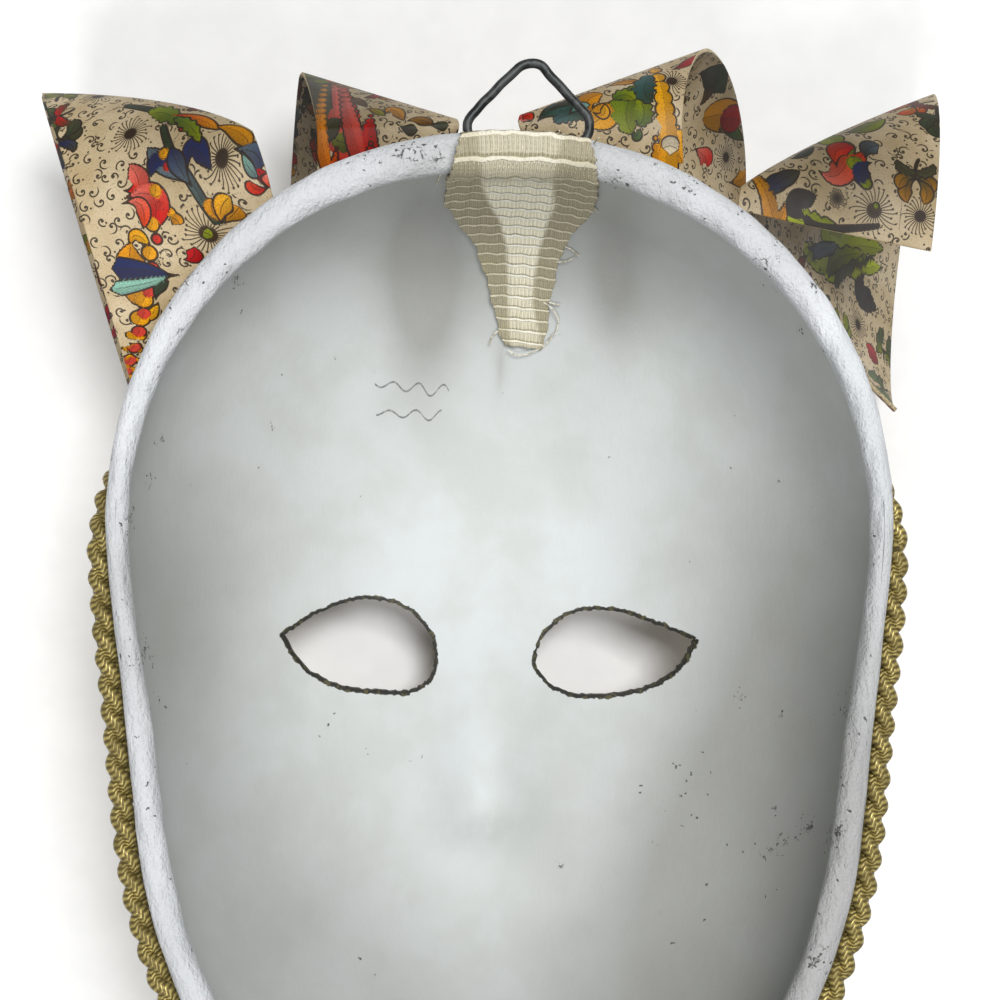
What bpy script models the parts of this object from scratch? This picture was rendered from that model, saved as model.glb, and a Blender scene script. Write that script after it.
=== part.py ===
"""Papier-mache full-face carnival mask with a crown of four rolled paper cornets, lying face down.

Metres, +Z up. X runs across the face, +Y towards the forehead, and the open back looks up along +Z.
The floor is z = 0: the tip of the nose and the lower lips of the cornets touch it. The origin is
on the floor, under the middle of the box that holds the whole object.
"""

import math

import bmesh
import bpy
import numpy as np
from mathutils import Vector
from mathutils.bvhtree import BVHTree

# The papier-mache shell: the outline of its rim seen from the back, and its depth.
RIM_HEIGHT = 0.085
FACE_HALF_WIDTH = 0.0885
CROWN_REACH = 0.0931
CHIN_REACH = 0.150
WIDEST_Y = -0.011
CROWN_SQUARENESS = 2.12
JAW_SQUARENESS = 2.3
TEMPLE_PINCH = 0.042
PINCH_Y = -0.050
PINCH_REACH = 0.035
FOREHEAD_Z = 0.014
BOWL_SQUARENESS = 2.4
WALL = 0.0028
NOSE_TIP_Y = -0.086
NOSE_ROOT_Y = -0.034
NOSE_WIDTH = 0.0135
NOSE_BASE = 0.0125
NOSE_HOLLOW = 0.007
EYE_LINE_Y = -0.039
MOUTH_LINE_Y = -0.1130
MOUTH_HALF_WIDTH = 0.024
CHIN_Y = -0.139
CROWN_EDGE_Y = WIDEST_Y + CROWN_REACH

# The modelling of the face. Each mound has its height, its place and its spread across and along.
BROW_RISE = 0.0032
BROW_X = 0.030
BROW_ABOVE_EYES = 0.0175
BROW_SPREAD = (0.026, 0.0085)
EYE_HOLLOW = 0.0034
EYE_X = 0.033
EYE_SPREAD = (0.022, 0.012)
CHEEK_RISE = 0.0040
CHEEK_X = 0.044
CHEEK_BELOW_EYES = 0.040
CHEEK_SPREAD = (0.021, 0.021)
MOUTH_RISE = 0.0050
MOUTH_SPREAD = (0.028, 0.017)
UPPER_LIP_RISE = 0.0045
UPPER_LIP_OFFSET = 0.0042
UPPER_LIP_SPREAD = 0.0038
LOWER_LIP_RISE = 0.0055
LOWER_LIP_OFFSET = 0.0052
LOWER_LIP_SPREAD = 0.0045
CHIN_RISE = 0.0066
CHIN_SPREAD = (0.019, 0.011)
NOSTRIL_RISE = 0.0070
NOSTRIL_X = 0.0128
NOSTRIL_BELOW_TIP = 0.0025
NOSTRIL_SPREAD = (0.0056, 0.0062)

# The same face felt from the inside, softened by the layers of paper.
INNER_EYE_RISE = 0.0016
INNER_EYE_SPREAD = (0.026, 0.016)
INNER_CHEEK_DEPTH = 0.0016
INNER_CHEEK_SPREAD = (0.026, 0.026)
INNER_MOUTH_DEPTH = 0.0030
INNER_MOUTH_SPREAD = (0.032, 0.021)
INNER_CHIN_DEPTH = 0.0030
INNER_CHIN_SPREAD = (0.022, 0.013)
INNER_NOSE_SHIFT = 0.003

# The rolled bead of paper round the rim.
BEAD_WIDTH_SIDES = 0.0067
BEAD_WIDTH_CROWN = 0.0087
BEAD_HEIGHT = 0.0064
BEAD_UNDERCUT = 0.0022

# The stiff printed paper of the four cornets. Each rolled sheet runs from a tip beside the bead to
# an open mouth; across is the mouth's half width.
CARD = 0.0009
FIT_GAP = 0.0004
CORNET_RISE = 0.033
CORNET_TIP_Z = 0.069
TOP_LEFT_TIP = (0.0035, 0.0820)
TOP_LEFT_MOUTH = (0.0445, 0.0808)
TOP_LEFT_ACROSS = 0.0227
TOP_RIGHT_TIP = (-0.0005, 0.0835)
TOP_RIGHT_MOUTH = (0.0548, 0.0825)
TOP_RIGHT_ACROSS = 0.0261
SIDE_LEFT_TIP = (0.0535, 0.0815)
SIDE_LEFT_MOUTH = (0.1045, 0.0660)
SIDE_LEFT_ACROSS = 0.0410
SIDE_RIGHT_TIP = (0.0570, 0.0715)
SIDE_RIGHT_MOUTH = (0.1120, 0.0655)
SIDE_RIGHT_ACROSS = 0.0400

# How each sheet is rolled, in angles and shares: swell under 1 rounds the sides out like a bell,
# tilt draws the top lip back, and crease pinches the outer edge.
ROLLS = {
    "paper_cornet_top_left": {"swell": 1.0, "tilt": 0.16, "start": -172, "sweep": 344, "crease": 0.75},
    "paper_cornet_top_right": {"swell": 1.0, "tilt": 0.42, "start": -172, "sweep": 344, "crease": 0.0},
    "paper_cornet_side_left": {"swell": 0.62, "tilt": 0.16, "start": -172, "sweep": 344, "crease": 0.25},
    "paper_cornet_side_right": {"swell": 0.80, "tilt": 0.16, "start": -180, "sweep": 277, "crease": 0.0},
}

# The wire triangle that the mask hangs on, its corners seen from the back.
WIRE = 0.0024
WIRE_PEAK_X = 0.0067
WIRE_LEFT_X = -0.0130
WIRE_RIGHT_X = 0.0252
WIRE_PEAK_REACH = 0.0158
WIRE_BAR_INSET = 0.0042
WIRE_BEND = 0.0042
WIRE_BAR_Y = CROWN_EDGE_Y - WIRE_BAR_INSET

# The strip of open-weave cloth that holds the wire, glued down the inside of the forehead.
TAB_WIDTH_TOP = 0.0195
TAB_WIDTH_SPREAD = 0.0345
TAB_WIDTH_END = 0.0100
TAB_TOP_X = 0.0049
TAB_END_X = 0.0080
TAB_THICK = 0.0010
TAB_GAP = 0.0005
TAB_BULGE = 0.0046
TAB_REACH = 0.0416
TAB_END_Y = CROWN_EDGE_Y - TAB_REACH

# The plaited braid glued round the outer wall.
BRAID_WIDTH = 0.0078
BRAID_THICK = 0.0056
BRAID_GLUE = 0.0003
BRAID_DROP = 0.0075
BRAID_BROW_REACH = 0.057

# How finely the round forms are divided.
ROUND_STEPS = 56
FRONT_RINGS = 22
BEAD_RINGS = 6
INSIDE_RINGS = 15

PARTS = "venetian_mask"
CUTTERS = "venetian_mask_cutters"


def new_collection(name, hidden=False):
    collection = bpy.data.collections.new(name)
    bpy.context.scene.collection.children.link(collection)
    collection.hide_render = hidden
    return collection


def paint(name, color, roughness, metallic=0.0):
    material = bpy.data.materials.new(name)
    material.use_nodes = True
    shader = material.node_tree.nodes["Principled BSDF"]
    shader.inputs["Base Color"].default_value = (*color, 1.0)
    shader.inputs["Roughness"].default_value = roughness
    shader.inputs["Metallic"].default_value = metallic
    return material


def add_object(name, mesh, material, collection):
    piece = bpy.data.objects.new(name, mesh)
    collection.objects.link(piece)
    if material:
        mesh.materials.append(material)
    return piece


def add_mesh(name, points, faces, material, collection):
    mesh = bpy.data.meshes.new(name)
    mesh.from_pydata([tuple(p) for p in points], [], faces)
    mesh.validate()
    mesh.shade_smooth()
    return add_object(name, mesh, material, collection)


def evaluated_tree(piece):
    """Search tree over the piece's evaluated faces, and its evaluated points, in world space."""
    graph = bpy.context.evaluated_depsgraph_get()
    graph.update()
    shown = piece.evaluated_get(graph)
    mesh = shown.to_mesh()
    points = [shown.matrix_world @ v.co for v in mesh.vertices]
    faces = [tuple(f.vertices) for f in mesh.polygons]
    shown.to_mesh_clear()
    return BVHTree.FromPolygons(points, faces), points


def outline(t):
    """Plan point of the rim's outer edge at angle t: two half superellipses, pinched at the temples."""
    across, along = np.cos(t), np.sin(t)
    square = np.where(along >= 0, CROWN_SQUARENESS, JAW_SQUARENESS)
    reach = np.where(along >= 0, CROWN_REACH, CHIN_REACH)
    x = FACE_HALF_WIDTH * np.sign(across) * np.abs(across) ** (2 / square)
    y = WIDEST_Y + reach * np.sign(along) * np.abs(along) ** (2 / square)
    return x * pinch(y), y


def pinch(y):
    return 1 - TEMPLE_PINCH * np.exp(-(((y - PINCH_Y) / PINCH_REACH) ** 2))


def share_of_outline(x, y, inset):
    """How far out a plan point lies: 0 on the widest line's middle, 1 on the outline less the inset."""
    square = np.where(y >= WIDEST_Y, CROWN_SQUARENESS, JAW_SQUARENESS)
    reach = np.where(y >= WIDEST_Y, CROWN_REACH, CHIN_REACH) - inset
    across = np.abs(x / pinch(y)) / (FACE_HALF_WIDTH - inset)
    along = np.abs(y - WIDEST_Y) / reach
    return np.minimum((across**square + along**square) ** (1 / square), 1.0)


def bowl(x, y, inset):
    """Height of the plain bowl under the rim: a superellipse from the rim down to the forehead."""
    depth = RIM_HEIGHT - FOREHEAD_Z - inset
    share = share_of_outline(x, y, inset)
    return RIM_HEIGHT - depth * (1 - share**BOWL_SQUARENESS) ** (1 / BOWL_SQUARENESS)


def bump(x, y, middle, spread, power=2.0):
    """A smooth mound of height 1 at a point of the plan, and its mirror image across the face."""
    return np.exp(
        -((np.abs(np.abs(x) - middle[0]) / spread[0]) ** power)
        - (np.abs(y - middle[1]) / spread[1]) ** power
    )


def nose(x, y, width):
    """A ridge of height 1 at the tip: it climbs from the root and rounds off below the tip."""
    along = np.clip((NOSE_ROOT_Y - y) / (NOSE_ROOT_Y - NOSE_TIP_Y), 0.0, 1.0)
    below = np.clip((NOSE_TIP_Y - y) / NOSE_BASE, 0.0, 1.0)
    rise = np.sin(math.pi / 2 * along) ** 1.5 * np.cos(math.pi / 2 * below) ** 0.8
    spread = width * (0.55 + 0.45 * along)
    return rise * np.exp(-(np.abs(x / spread) ** (2.2 + 0.9 * along)))


def relief(x, y):
    """How far the face stands out from the bowl: brow, nose, cheeks, lips and chin."""
    height = float(bowl(np.array(0.0), np.array(NOSE_TIP_Y), 0.0))
    form = BROW_RISE * bump(x, y, (BROW_X, EYE_LINE_Y + BROW_ABOVE_EYES), BROW_SPREAD)
    form = form - EYE_HOLLOW * bump(x, y, (EYE_X, EYE_LINE_Y), EYE_SPREAD)
    form = form + CHEEK_RISE * bump(x, y, (CHEEK_X, EYE_LINE_Y - CHEEK_BELOW_EYES), CHEEK_SPREAD)
    form = form + MOUTH_RISE * bump(x, y, (0.0, MOUTH_LINE_Y), MOUTH_SPREAD)
    lips = np.exp(-((np.abs(x) / MOUTH_HALF_WIDTH) ** 3.5))
    upper = np.exp(-(((y - MOUTH_LINE_Y - UPPER_LIP_OFFSET) / UPPER_LIP_SPREAD) ** 2))
    lower = np.exp(-(((y - MOUTH_LINE_Y + LOWER_LIP_OFFSET) / LOWER_LIP_SPREAD) ** 2))
    form = form + lips * (UPPER_LIP_RISE * upper + LOWER_LIP_RISE * lower)
    form = form + CHIN_RISE * bump(x, y, (0.0, CHIN_Y), CHIN_SPREAD)
    form = form + NOSTRIL_RISE * bump(x, y, (NOSTRIL_X, NOSE_TIP_Y - NOSTRIL_BELOW_TIP), NOSTRIL_SPREAD)
    ridge = nose(x, y, NOSE_WIDTH)
    return form * (1 - ridge**1.5) + height * ridge


def hollow_relief(x, y):
    """The same face felt from the inside, softened by the layers of paper."""
    form = -INNER_EYE_RISE * bump(x, y, (EYE_X, EYE_LINE_Y), INNER_EYE_SPREAD)
    cheek = (CHEEK_X, EYE_LINE_Y - CHEEK_BELOW_EYES)
    form = form + INNER_CHEEK_DEPTH * bump(x, y, cheek, INNER_CHEEK_SPREAD)
    form = form + INNER_MOUTH_DEPTH * bump(x, y, (0.0, MOUTH_LINE_Y), INNER_MOUTH_SPREAD)
    form = form + INNER_CHIN_DEPTH * bump(x, y, (0.0, CHIN_Y), INNER_CHIN_SPREAD)
    return form + NOSE_HOLLOW * nose(x, y + INNER_NOSE_SHIFT, NOSE_WIDTH)


def bead_half_width(t):
    crown = np.clip(np.sin(t), 0.0, 1.0) ** 2
    return 0.5 * (BEAD_WIDTH_SIDES + (BEAD_WIDTH_CROWN - BEAD_WIDTH_SIDES) * crown)


def skin(t, k):
    """Point of the shell's whole skin at angle t. k is 0 at the tip of the nose, runs up the outside
    to the bead at 1, over the bead to 2, and down the inside to 3 behind the nose."""
    t, k = np.broadcast_arrays(np.asarray(t, float), np.asarray(k, float))
    edge_x, edge_y = outline(t)
    ray_y = edge_y - NOSE_TIP_Y
    ray = np.hypot(edge_x, ray_y)

    def inset_point(inset, share):
        shorter = share * (1 - inset / ray)
        return edge_x * shorter, NOSE_TIP_Y + ray_y * shorter

    wall_start = 0.075
    lean = wall_start + (math.pi / 2 - wall_start) * (1 - np.clip(k, 0.0, 1.0) ** 1.45)
    x, y = inset_point(0.0, np.cos(lean) ** (2 / BOWL_SQUARENESS))
    front = np.stack([x, y, bowl(x, y, 0.0) - relief(x, y)], axis=-1)

    half = bead_half_width(t)
    turn = math.pi - (math.pi + math.radians(35)) * np.clip(k - 1, 0.0, 1.0)
    x, y = inset_point(half * (1 + np.cos(turn)), 1.0)
    rise = np.where(turn < 0, BEAD_UNDERCUT / math.sin(math.radians(35)), BEAD_HEIGHT / 2)
    bead = np.stack([x, y, RIM_HEIGHT - BEAD_HEIGHT / 2 + rise * np.sin(turn)], axis=-1)

    inner_start = 0.115
    back = np.clip(k - 2, 0.0, 1.0)
    lean = inner_start + (math.pi / 2 - inner_start) * (1 - (1 - back) ** 1.25)
    x, y = inset_point(WALL, np.cos(lean) ** (2 / BOWL_SQUARENESS))
    inside = np.stack([x, y, bowl(x, y, WALL) - hollow_relief(x, y)], axis=-1)

    k = k[..., None]
    return np.where(k <= 1, front, np.where(k <= 2, bead, inside))


def skin_normal(t, k):
    """Unit vector out of the paper at a point of the skin, from two short steps along it."""
    step = 1e-4
    along_t = skin(t + step, k) - skin(t - step, k)
    along_k = skin(t, k + step) - skin(t, k - step)
    normal = np.cross(along_t, along_k)
    return normal / np.linalg.norm(normal, axis=-1, keepdims=True)


def eye_outline(points, corner):
    """A smooth closed curve through a few points of the plan, sharp at one corner."""
    data = bpy.data.curves.new("eye_outline", "CURVE")
    data.dimensions = "2D"
    data.fill_mode = "BOTH"
    data.extrude = 0.030
    data.resolution_u = 4
    spline = data.splines.new("BEZIER")
    spline.bezier_points.add(len(points) - 1)
    for index, (knot, (x, y)) in enumerate(zip(spline.bezier_points, points)):
        knot.co = (x, y, 0.0)
        kind = "VECTOR" if index == corner else "AUTO"
        knot.handle_left_type = knot.handle_right_type = kind
    spline.use_cyclic_u = True
    return data


def eye_cutter(name, points, corner, collection):
    """The prism that cuts one eye hole, as a closed mesh."""
    curve = bpy.data.objects.new(name + "_curve", eye_outline(points, corner))
    collection.objects.link(curve)
    graph = bpy.context.evaluated_depsgraph_get()
    mesh = bpy.data.meshes.new_from_object(curve.evaluated_get(graph))
    bpy.data.objects.remove(curve)
    form = bmesh.new()
    form.from_mesh(mesh)
    bmesh.ops.remove_doubles(form, verts=form.verts, dist=1e-5)
    bmesh.ops.recalc_face_normals(form, faces=form.faces)
    form.to_mesh(mesh)
    form.free()
    cutter = add_object(name, mesh, None, collection)
    cutter.location.z = 0.022
    cutter.hide_render = True
    cutter.display_type = "WIRE"
    return cutter


LEFT_EYE = [
    (-0.0527, -0.0348),
    (-0.0427, -0.0288),
    (-0.0290, -0.0262),
    (-0.0186, -0.0309),
    (-0.0138, -0.0415),
    (-0.0166, -0.0482),
    (-0.0280, -0.0497),
    (-0.0441, -0.0453),
]
RIGHT_EYE = [
    (0.0528, -0.0361),
    (0.0434, -0.0322),
    (0.0300, -0.0288),
    (0.0190, -0.0318),
    (0.0130, -0.0425),
    (0.0170, -0.0484),
    (0.0322, -0.0505),
    (0.0473, -0.0445),
]


def make_shell(parts, cutters):
    """The face and its bead in one piece: a sphere whose lower half becomes the outside of the face,
    whose middle band becomes the bead, and whose upper half becomes the inside."""
    rings = FRONT_RINGS + BEAD_RINGS + INSIDE_RINGS
    form = bmesh.new()
    bmesh.ops.create_uvsphere(form, u_segments=ROUND_STEPS, v_segments=rings, radius=1.0)
    for vert in form.verts:
        polar = math.acos(max(-1.0, min(1.0, -vert.co.z)))
        ring = round(polar / math.pi * rings)
        turn = math.atan2(vert.co.y, vert.co.x)
        turn = round(turn / (2 * math.pi) * ROUND_STEPS) * 2 * math.pi / ROUND_STEPS
        if ring <= FRONT_RINGS:
            k = ring / FRONT_RINGS
        elif ring <= FRONT_RINGS + BEAD_RINGS:
            k = 1 + (ring - FRONT_RINGS) / BEAD_RINGS
        else:
            k = 2 + (ring - FRONT_RINGS - BEAD_RINGS) / INSIDE_RINGS
        vert.co = Vector(skin(turn, k))
    bmesh.ops.recalc_face_normals(form, faces=form.faces)
    mesh = bpy.data.meshes.new("mask_shell")
    form.to_mesh(mesh)
    form.free()
    mesh.shade_smooth()
    white = paint("white_gesso", (0.78, 0.79, 0.80), 0.62)
    shell = add_object("mask_shell", mesh, white, parts)
    eyes = (("left_eye_cutter", LEFT_EYE), ("right_eye_cutter", RIGHT_EYE))
    for name, points in eyes:
        cut = shell.modifiers.new(name, "BOOLEAN")
        cut.operation = "DIFFERENCE"
        cut.solver = "EXACT"
        cut.object = eye_cutter(name, points, 0, cutters)
    return shell


def cornet_sheet(side, tip, mouth, across, swell, tilt, start, sweep, crease):
    """Points and faces of one rolled sheet. Its lines run from the tip to a mouth that is an ellipse,
    whose top lip is drawn back by the tilt. crease above 0 pinches the outer edge."""
    around, along = 22, 6
    first = 0.075
    apex = np.array([*tip, CORNET_TIP_Z])
    centre = np.array([*mouth, CORNET_RISE])
    forward = (centre - apex) * (1, 1, 0)
    forward = forward / np.linalg.norm(forward)
    outward = np.array([-forward[1], forward[0], 0.0])
    u = math.radians(start) + math.radians(sweep) * np.linspace(0, 1, around + 1)
    reach = np.cos(u)
    pinched = np.sign(reach) * (1 - np.abs(np.sin(u)) ** 1.25)
    reach = np.where(reach > 0, (1 - crease) * reach + crease * pinched, reach)
    wide = across * reach[:, None] * outward
    tall = CORNET_RISE * np.sin(u)[:, None] * (np.array([0.0, 0.0, 1.0]) - tilt * forward)
    v = np.linspace(first, 1, along + 1)[:, None, None]
    grid = apex + v * (centre - apex) + v**swell * wide + v * tall
    grid[..., 0] *= side
    faces = []
    for j in range(along):
        for i in range(around):
            a = j * (around + 1) + i
            face = (a, a + 1, a + around + 2, a + around + 1)
            faces.append(face if side > 0 else face[::-1])
    return grid.reshape(-1, 3), faces


def seat(piece, direction, neighbours, gap):
    """Slides a piece along a direction until it is the gap away from its neighbours."""
    step_out = Vector(direction).normalized()
    trees = [evaluated_tree(other) for other in neighbours]
    _, own_points = evaluated_tree(piece)
    graph = bpy.context.evaluated_depsgraph_get()
    shown = piece.evaluated_get(graph).to_mesh()
    faces = [tuple(f.vertices) for f in shown.polygons]
    piece.evaluated_get(graph).to_mesh_clear()

    def clear(distance):
        moved = [p + step_out * distance for p in own_points]
        own = BVHTree.FromPolygons(moved, faces)
        for tree, points in trees:
            if own.overlap(tree):
                return False
            if min(tree.find_nearest(p)[3] for p in moved) < gap:
                return False
            if min(own.find_nearest(p)[3] for p in points) < gap:
                return False
        return True

    near, far = -0.012, 0.020
    for _ in range(12):
        middle = (near + far) / 2
        if clear(middle):
            far = middle
        else:
            near = middle
    piece.location = step_out * far


def make_cornets(parts, shell):
    """Two cornets that open sideways from the middle of the crown, and two that follow them down to
    the temples. Each is stiff printed paper, glued to the outer wall just under the bead."""
    paper = paint("printed_paper", (0.62, 0.52, 0.36), 0.55)
    places = {
        "paper_cornet_top_left": (-1, TOP_LEFT_TIP, TOP_LEFT_MOUTH, TOP_LEFT_ACROSS),
        "paper_cornet_top_right": (1, TOP_RIGHT_TIP, TOP_RIGHT_MOUTH, TOP_RIGHT_ACROSS),
        "paper_cornet_side_left": (-1, SIDE_LEFT_TIP, SIDE_LEFT_MOUTH, SIDE_LEFT_ACROSS),
        "paper_cornet_side_right": (1, SIDE_RIGHT_TIP, SIDE_RIGHT_MOUTH, SIDE_RIGHT_ACROSS),
    }
    made = {}
    for name, (side, tip, mouth, across) in places.items():
        points, faces = cornet_sheet(side, tip, mouth, across, **ROLLS[name])
        piece = add_mesh(name, points, faces, paper, parts)
        wall = piece.modifiers.new("card", "SOLIDIFY")
        wall.thickness = CARD
        wall.offset = -1.0
        made[name] = piece
        away = (side * mouth[0], mouth[1] - WIDEST_Y, 0.0)
        neighbours = [shell]
        if "side" in name:
            neighbours.append(made[name.replace("side", "top")])
        seat(piece, away, neighbours, FIT_GAP)
    return made


def rounded_triangle(corners, radius, steps):
    """Points round a triangle whose corners are arcs."""
    points = []
    for index, corner in enumerate(corners):
        here = Vector(corner)
        before = (Vector(corners[index - 1]) - here).normalized()
        after = (Vector(corners[(index + 1) % len(corners)]) - here).normalized()
        half = before.angle(after) / 2
        middle = here + (before + after).normalized() * (radius / math.sin(half))
        first = here + before * (radius / math.tan(half)) - middle
        last = here + after * (radius / math.tan(half)) - middle
        for step in range(steps + 1):
            spoke = first.lerp(last, step / steps).normalized() * radius
            points.append(middle + spoke)
    return points


def make_hanger(parts):
    """A bent wire triangle that lies on top of the bead, its base bar under the cloth tab."""
    steel = paint("dark_wire", (0.09, 0.09, 0.10), 0.45, 0.85)
    radius = WIRE / 2
    height = RIM_HEIGHT + FIT_GAP + radius
    data = bpy.data.curves.new("hanger_wire", "CURVE")
    data.dimensions = "3D"
    data.bevel_depth = radius
    data.bevel_resolution = 2
    spline = data.splines.new("POLY")
    peak = (WIRE_PEAK_X, CROWN_EDGE_Y + WIRE_PEAK_REACH)
    corners = (peak, (WIRE_LEFT_X, WIRE_BAR_Y), (WIRE_RIGHT_X, WIRE_BAR_Y))
    points = rounded_triangle(corners, WIRE_BEND, 5)
    spline.points.add(len(points) - 1)
    for knot, point in zip(spline.points, points):
        knot.co = (point.x, point.y, height, 1.0)
    spline.use_cyclic_u = True
    return add_object("hanger_wire", data, steel, parts)


def angle_at(x, k):
    """Angle t at which the skin near the crown reaches a given x."""
    low, high = 0.15, math.pi - 0.15
    for _ in range(40):
        middle = (low + high) / 2
        if skin(middle, k)[0] > x:
            low = middle
        else:
            high = middle
    return (low + high) / 2


def share_at_end():
    """The k at which the inside of the shell passes the end of the tab."""
    low, high = 2.05, 2.95
    for _ in range(40):
        middle = (low + high) / 2
        if skin(math.pi / 2, middle)[1] > TAB_END_Y:
            low = middle
        else:
            high = middle
    return (low + high) / 2


def on_surface(tree, point, normal):
    """The place where the ray against the normal meets a faceted piece, from just above the point."""
    hit = tree.ray_cast(Vector(point + normal * 0.004), Vector(-normal), 0.010)[0]
    return point if hit is None else np.array(hit)


def make_tab(parts, shell):
    """A strip of stiffened open-weave cloth over the wire's base bar, down the inside of the crown."""
    tree, _ = evaluated_tree(shell)
    cloth = paint("open_weave_cloth", (0.55, 0.50, 0.38), 0.85)
    across = 6
    start, end = 1.30, share_at_end()
    stations = [start, 1.40, 1.48, 1.56, 1.64, 1.74, 1.84, 1.95, 2.06]
    stations += [2.06 + (end - 2.06) * (j / 7) for j in range(1, 8)]
    over_bar = FIT_GAP + WIRE + TAB_GAP
    narrowing = 2.02 + 0.4 * (end - 2.02)
    widths = (
        (1.75, 2.02, narrowing, end),
        (TAB_WIDTH_TOP, TAB_WIDTH_SPREAD, 0.60 * TAB_WIDTH_SPREAD, TAB_WIDTH_END),
    )
    low, high = [], []
    for k in stations:
        along = (k - start) / (end - start)
        half = 0.5 * float(np.interp(k, *widths))
        for i in range(across + 1):
            x = TAB_TOP_X + (TAB_END_X - TAB_TOP_X) * along + half * (2 * i / across - 1)
            t = angle_at(x, k)
            point = skin(t, k)
            normal = skin_normal(t, k)
            if k < 2.02:
                normal = skin_normal(t, min(k, 1.72))
            bulge = over_bar * math.exp(-(((point[1] - WIRE_BAR_Y) / TAB_BULGE) ** 4)) if k < 1.9 else 0.0
            foot = on_surface(tree, point, normal)
            low.append(foot + normal * (TAB_GAP + bulge))
            high.append(foot + normal * (TAB_GAP + bulge + TAB_THICK))
    return grid_solid("gauze_tab", low, high, len(stations), across + 1, cloth, parts)


def grid_solid(name, low, high, rows, columns, material, collection):
    """A closed slab between two grids of points, one under the other."""
    count = rows * columns
    faces = []
    for j in range(rows - 1):
        for i in range(columns - 1):
            a = j * columns + i
            quad = (a, a + 1, a + columns + 1, a + columns)
            faces.append(quad)
            faces.append(tuple(count + v for v in reversed(quad)))
    edge = [i for i in range(columns)]
    edge += [j * columns + columns - 1 for j in range(1, rows)]
    edge += [(rows - 1) * columns + i for i in reversed(range(columns - 1))]
    edge += [j * columns for j in reversed(range(1, rows - 1))]
    for a, b in zip(edge, edge[1:] + edge[:1]):
        faces.append((b, a, count + a, count + b))
    piece = add_mesh(name, low + high, faces, material, collection)
    form = bmesh.new()
    form.from_mesh(piece.data)
    bmesh.ops.recalc_face_normals(form, faces=form.faces)
    form.to_mesh(piece.data)
    form.free()
    return piece


def braid_share(t):
    """The k that the braid follows on the ray at angle t: a fixed drop under the rim, or where the ray
    leaves the oval of the hairline, whichever comes first."""
    low, high = 0.30, 1.0
    for _ in range(40):
        middle = (low + high) / 2
        x, y, z = skin(t, middle)
        above = max(y - WIDEST_Y, 0.0) / BRAID_BROW_REACH
        in_oval = (x / FACE_HALF_WIDTH) ** 2 + above**2 < 1
        if z < RIM_HEIGHT - BRAID_DROP and in_oval:
            low = middle
        else:
            high = middle
    return (low + high) / 2


def make_braid(parts):
    """One closed band of plaited gimp: round the jaw just under the bead, and across the front of the
    forehead below the cornets. Its section is a flat oval that lies on the wall."""
    gold = paint("gold_braid", (0.42, 0.30, 0.10), 0.45, 0.35)
    steps, sides = 64, 8
    turns = [2 * math.pi * j / steps for j in range(steps)]
    path = np.array([braid_share(t) for t in turns])
    for _ in range(4):
        path = (np.roll(path, 1) + 2 * path + np.roll(path, -1)) / 4
    points = []
    for t, k in zip(turns, path):
        centre = skin(t, k)
        normal = skin_normal(t, k)
        onward = skin(t + 1e-3, k) - skin(t - 1e-3, k)
        onward = onward / np.linalg.norm(onward)
        flat = np.cross(normal, onward)
        middle = centre + normal * (FIT_GAP + BRAID_GLUE + BRAID_THICK / 2)
        for i in range(sides):
            turn = 2 * math.pi * (i + 0.5) / sides
            spoke = normal * (BRAID_THICK / 2 * math.cos(turn))
            spoke = spoke + flat * (BRAID_WIDTH / 2 * math.sin(turn))
            points.append(middle + spoke)
    faces = []
    for j in range(steps):
        for i in range(sides):
            a, b = j * sides, (j + 1) % steps * sides
            n = (i + 1) % sides
            faces.append((a + i, a + n, b + n, b + i))
    piece = add_mesh("gold_braid", points, faces, gold, parts)
    form = bmesh.new()
    form.from_mesh(piece.data)
    bmesh.ops.recalc_face_normals(form, faces=form.faces)
    form.to_mesh(piece.data)
    form.free()
    return piece


def stand_on_origin(parts, cutters):
    """Moves the parts together, so that the origin lies on the floor under the middle of them all."""
    points = []
    for piece in parts.objects:
        points += evaluated_tree(piece)[1]
    cloud = np.array([tuple(p) for p in points])
    low, high = cloud.min(axis=0), cloud.max(axis=0)
    base = bpy.data.objects.new("mask_base", None)
    bpy.context.scene.collection.objects.link(base)
    for piece in [*parts.objects, *cutters.objects]:
        piece.parent = base
    base.location = (-(low[0] + high[0]) / 2, -(low[1] + high[1]) / 2, -low[2])


def main():
    for old in list(bpy.data.objects):
        bpy.data.objects.remove(old, do_unlink=True)
    parts = new_collection(PARTS)
    cutters = new_collection(CUTTERS, hidden=True)
    shell = make_shell(parts, cutters)
    make_cornets(parts, shell)
    make_hanger(parts)
    make_tab(parts, shell)
    make_braid(parts)
    stand_on_origin(parts, cutters)


main()
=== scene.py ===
"""Venetian papier-mache mask, face down on a pale floor, seen from above into its hollow back.

Metres, +Z up. The papier-mache, its paper cornets, wire, cloth tab and braid are worked out as
surfaces in the drawing's own frame, whose origin lies on the floor under the middle of the view,
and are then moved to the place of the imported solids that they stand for.
"""

import math
from collections import namedtuple

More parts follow.
